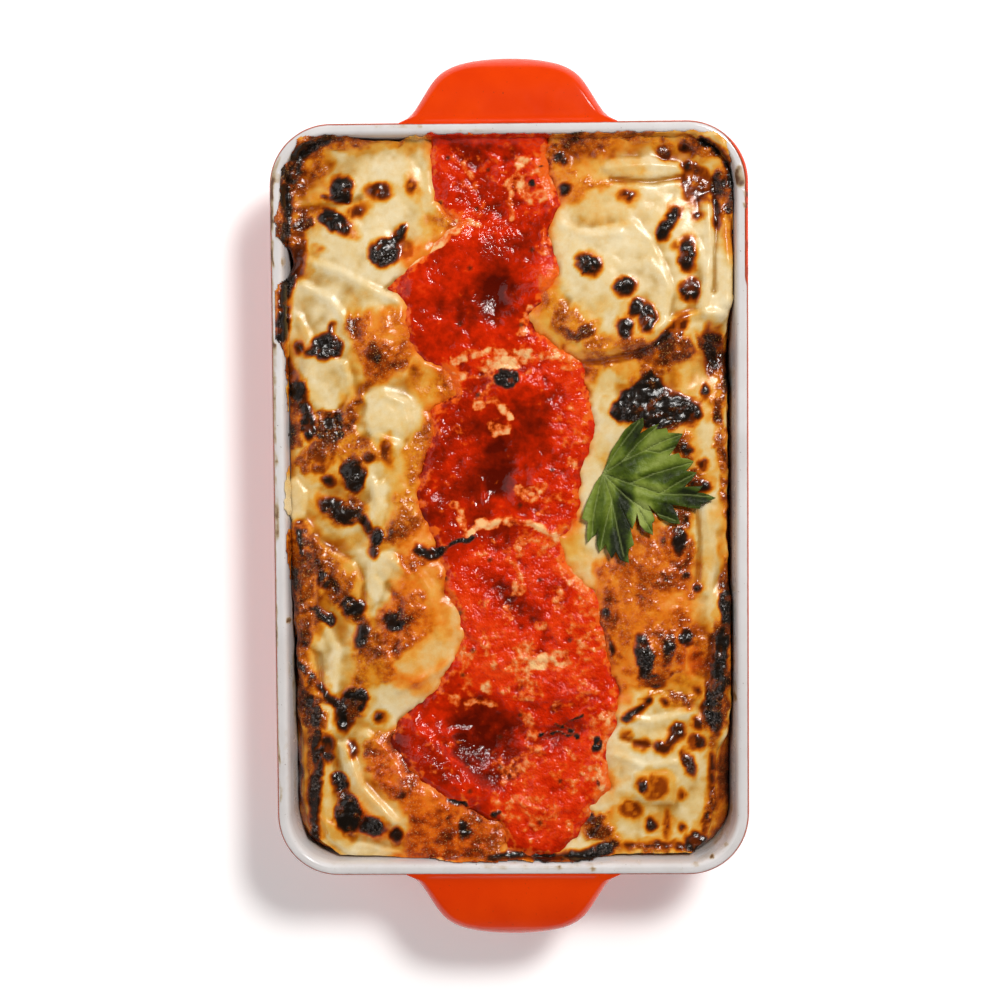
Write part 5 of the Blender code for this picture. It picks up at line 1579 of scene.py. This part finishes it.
def tomato_material():
    """Moist red sauce with orange and cream streaks, dark flecks and a few burnt spots."""
    material, shader = new_material("tomato sauce")
    wires = Wiring(material.node_tree)
    pale = wires.attribute("pale")
    deep_and_shaded = wires.attribute("deep_and_shaded")
    shore = wires.attribute("shore")
    char = wires.attribute("char")
    fleck = wires.attribute("fleck")
    chunky = wires.attribute("chunky")
    hollow_shade = wires.attribute("hollow_shade")
    fine = wires.noise(1000, 2, 0.5)
    middle = wires.noise(380, 2, 0.5)
    broad = wires.noise(95, 3, 0.55)
    level = wires.math("MULTIPLY_ADD", middle, 0.34, wires.math("MULTIPLY", broad, 0.66))
    level = wires.math("MULTIPLY_ADD", fine, 0.08, level)
    # darker red where the sauce lies deep, with painted shade in its crevices
    level = wires.math("MULTIPLY_ADD", deep_and_shaded, -0.32, level)
    level = wires.math("MULTIPLY_ADD", chunky, 0.22, level)
    level = wires.math("SUBTRACT", level, 0.05, clamp=True)
    # darker red in the hollows: painted shade
    level = wires.math("MULTIPLY_ADD", hollow_shade, -0.30, level, clamp=True)
    colour = wires.ramp(level, TOMATO_REDS)

    # white sauce stirred in: orange round the streaks and in places along the shore, cream in their middle
    streak = wires.math("MULTIPLY_ADD", wires.about_zero(middle), 1.1, pale)
    near_shore = wires.math("SUBTRACT", 1.0, shore, clamp=True)
    near_shore = wires.math("MULTIPLY", near_shore, wires.between(broad, 0.36, 0.62))
    fringe = wires.math("MULTIPLY_ADD", near_shore, 0.46, streak, clamp=True)
    colour = wires.mix(wires.between(fringe, 0.18, 0.55), colour, (0.76, 0.110, 0.008))
    colour = wires.mix(wires.between(streak, 0.36, 0.86), colour, (0.84, 0.48, 0.20))
    colour = wires.mix(wires.math("MULTIPLY", fleck, 0.85), colour, (0.05, 0.012, 0.004))

    # burnt spots, brown at their edge and black inside
    burnt = wires.math("MULTIPLY_ADD", wires.about_zero(middle), 0.5, char)
    colour = wires.mix(wires.between(burnt, 0.15, 0.5), colour, (0.16, 0.020, 0.004))
    colour = wires.mix(wires.between(burnt, 0.45, 0.8), colour, (0.013, 0.008, 0.006))
    wires.link(colour, shader.inputs["Base Color"])
    wires.link(wires.math("MULTIPLY_ADD", fine, 0.08, 0.08), shader.inputs["Roughness"])
    shader.inputs["Specular IOR Level"].default_value = 0.18

    height = wires.math("MULTIPLY", middle, wires.math("MULTIPLY_ADD", chunky, 0.42, 0.20))
    height = wires.math("MULTIPLY_ADD", fine, wires.math("MULTIPLY_ADD", chunky, 0.10, 0.04), height)
    height = wires.math("MULTIPLY_ADD", wires.math("MULTIPLY", wires.cells(600), char), 0.5, height)
    wires.link(wires.bump(height, 0.0016), shader.inputs["Normal"])
    return material


def glaze_material():
    """Gloss glaze: orange outside, white on the lip and inside, with baked-on stains and some painted
    shade.
    """
    material, shader = new_material("glazed stoneware")
    wires = Wiring(material.node_tree)
    outside = wires.attribute("outside")
    stain_and_shade = wires.attribute("stain_and_shade")
    broad = wires.noise(60, 3, 0.5)
    middle = wires.noise(300, 3, 0.55)
    fine = wires.noise(1600, 3, 0.6)
    wander = wires.math("MULTIPLY_ADD", wires.about_zero(middle), 0.12, outside)
    orange = wires.ramp(broad, ((0.3, (0.68, 0.036, 0.001)), (0.7, (0.75, 0.047, 0.001))))
    white = wires.ramp(broad, ((0.3, (0.61, 0.575, 0.565)), (0.7, (0.69, 0.660, 0.655))))
    # a thin dark line lies where the white glaze meets the orange
    colour = wires.mix(wires.between(wander, 0.30, 0.50), white, (0.30, 0.045, 0.010))
    colour = wires.mix(wires.between(wander, 0.60, 0.85), colour, orange)

    # stains and painted shade: thin and straw brown on the white, thin and red brown on the orange, and
    # thick and dark
    stained = wires.math("MULTIPLY_ADD", wires.about_zero(middle), 0.7, stain_and_shade)
    thin = wires.mix(wires.between(wander, 0.40, 0.70), (0.40, 0.28, 0.140), (0.20, 0.018, 0.002))
    colour = wires.mix(wires.between(stained, 0.15, 0.85), colour, thin)
    colour = wires.mix(wires.between(stained, 0.60, 1.0), colour, (0.110, 0.038, 0.012))
    specks = wires.between(wires.noise(900, 2, 0.5), 0.70, 0.76)
    colour = wires.mix(wires.math("MULTIPLY", specks, 0.55), colour, (0.10, 0.035, 0.012))
    wires.link(colour, shader.inputs["Base Color"])

    rough = wires.math("MULTIPLY_ADD", wires.between(stained, 0.1, 0.6), 0.35, 0.13)
    wires.link(rough, shader.inputs["Roughness"])
    crusty = wires.math("MULTIPLY_ADD", stain_and_shade, 0.5, 0.02)
    height = wires.math("MULTIPLY_ADD", fine, crusty, wires.math("MULTIPLY", broad, 0.6))
    wires.link(wires.bump(height, 0.0005), shader.inputs["Normal"])
    return material


# Parsley from its painted shade in the folds to its painted light where lit, as (share, linear colour)
GREENS = (
    (0.05, (0.009, 0.014, 0.0010)), (0.30, (0.058, 0.090, 0.0045)), (0.52, (0.165, 0.215, 0.025)),
    (0.82, (0.300, 0.350, 0.090)),
)


def parsley_material():
    """Fresh green with lighter veins, and painted light and painted shade on its folds."""
    material, shader = new_material("parsley")
    wires = Wiring(material.node_tree)
    vein = wires.attribute("vein")
    broad = wires.noise(110, 3, 0.5)
    fine = wires.noise(700, 3, 0.6)
    level = wires.math("MULTIPLY_ADD", fine, 0.22, wires.math("MULTIPLY", broad, 0.55))
    # painted light on the lit folds and painted shade on the shaded ones
    level = wires.math("MULTIPLY_ADD", wires.attribute("lit"), 0.34, level)
    level = wires.math("MULTIPLY_ADD", wires.attribute("shaded"), -0.36, level)
    colour = wires.ramp(level, GREENS)
    colour = wires.mix(wires.math("MULTIPLY", vein, 0.50), colour, (0.34, 0.40, 0.14))
    wires.link(colour, shader.inputs["Base Color"])
    shader.inputs["Roughness"].default_value = 0.45
    shader.inputs["Specular IOR Level"].default_value = 0.18
    wires.link(wires.bump(wires.math("SUBTRACT", fine, vein), 0.0004), shader.inputs["Normal"])
    return material


# Stage and light

DAYLIGHT = (1.0, 0.985, 0.96)
SKYLIGHT = (0.97, 0.985, 1.0)

# The room's brightness by how high one looks, from level to straight up, as (share, grey)
ROOM_BRIGHTNESS = ((0.0, 1.10), (0.28, 0.96), (0.42, 0.39), (0.64, 0.035), (1.0, 0.02))


def make_stage():
    """A plain pale floor that glows a little, so that shadows stay soft."""
    clear_selection()
    bpy.ops.mesh.primitive_plane_add(size=6, location=(0, 0, -0.0002))
    floor = bpy.context.object
    floor.name = "floor"
    material, shader = new_material("pale floor")
    shader.inputs["Base Color"].default_value = (0.97, 0.97, 0.97, 1)
    shader.inputs["Roughness"].default_value = 0.9
    shader.inputs["Specular IOR Level"].default_value = 0.0
    shader.inputs["Emission Color"].default_value = (1.0, 1.0, 1.0, 1)
    shader.inputs["Emission Strength"].default_value = 0.22
    floor.data.materials.append(material)


def make_light(name, place, size, power, colour):
    """A round soft light that shines at the dish."""
    data = bpy.data.lights.new(name, "AREA")
    data.shape = "DISK"
    data.size = size
    data.energy = power
    data.color = colour
    light = bpy.data.objects.new(name, data)
    light.location = place
    light.rotation_mode = "QUATERNION"
    light.rotation_quaternion = Vector(place).to_track_quat("Z", "Y")
    bpy.context.scene.collection.objects.link(light)


def make_lights():
    """Window and lamp at the far right, a weak fill at the left, and a pale room round it all."""
    make_light("window", (0.55, 0.74, 1.45), 0.55, 11.6, DAYLIGHT)
    make_light("lamp", (0.52, 0.70, 1.55), 0.30, 15.4, DAYLIGHT)
    make_light("fill", (-0.9, 0.2, 1.1), 0.9, 3.5, SKYLIGHT)
    world = bpy.data.worlds.new("studio")
    world.use_nodes = True
    wires = Wiring(world.node_tree)
    rise = world.node_tree.nodes.new("ShaderNodeSeparateXYZ")
    sky = world.node_tree.nodes.new("ShaderNodeTexCoord")
    wires.link(sky.outputs["Generated"], rise.inputs[0])
    strength = wires.ramp(rise.outputs["Z"], ROOM_BRIGHTNESS)
    background = world.node_tree.nodes["Background"]
    wires.link(strength, background.inputs["Color"])
    background.inputs["Strength"].default_value = 1.0
    bpy.context.scene.world = world
    bpy.context.scene.view_settings.view_transform = "Standard"


make_stage()
make_lights()
glaze = glaze_material()
make_dish(glaze)
make_ear("ear_far", 1, glaze)
make_ear("ear_near", -1, glaze)
baked = baked_material()
tomato = tomato_material()
make_lasagna(baked)
make_sauce(tomato)
make_crust("crust_on_rim", False, baked)
make_crust("sauce_on_rim", True, tomato)
make_leaf(parsley_material())
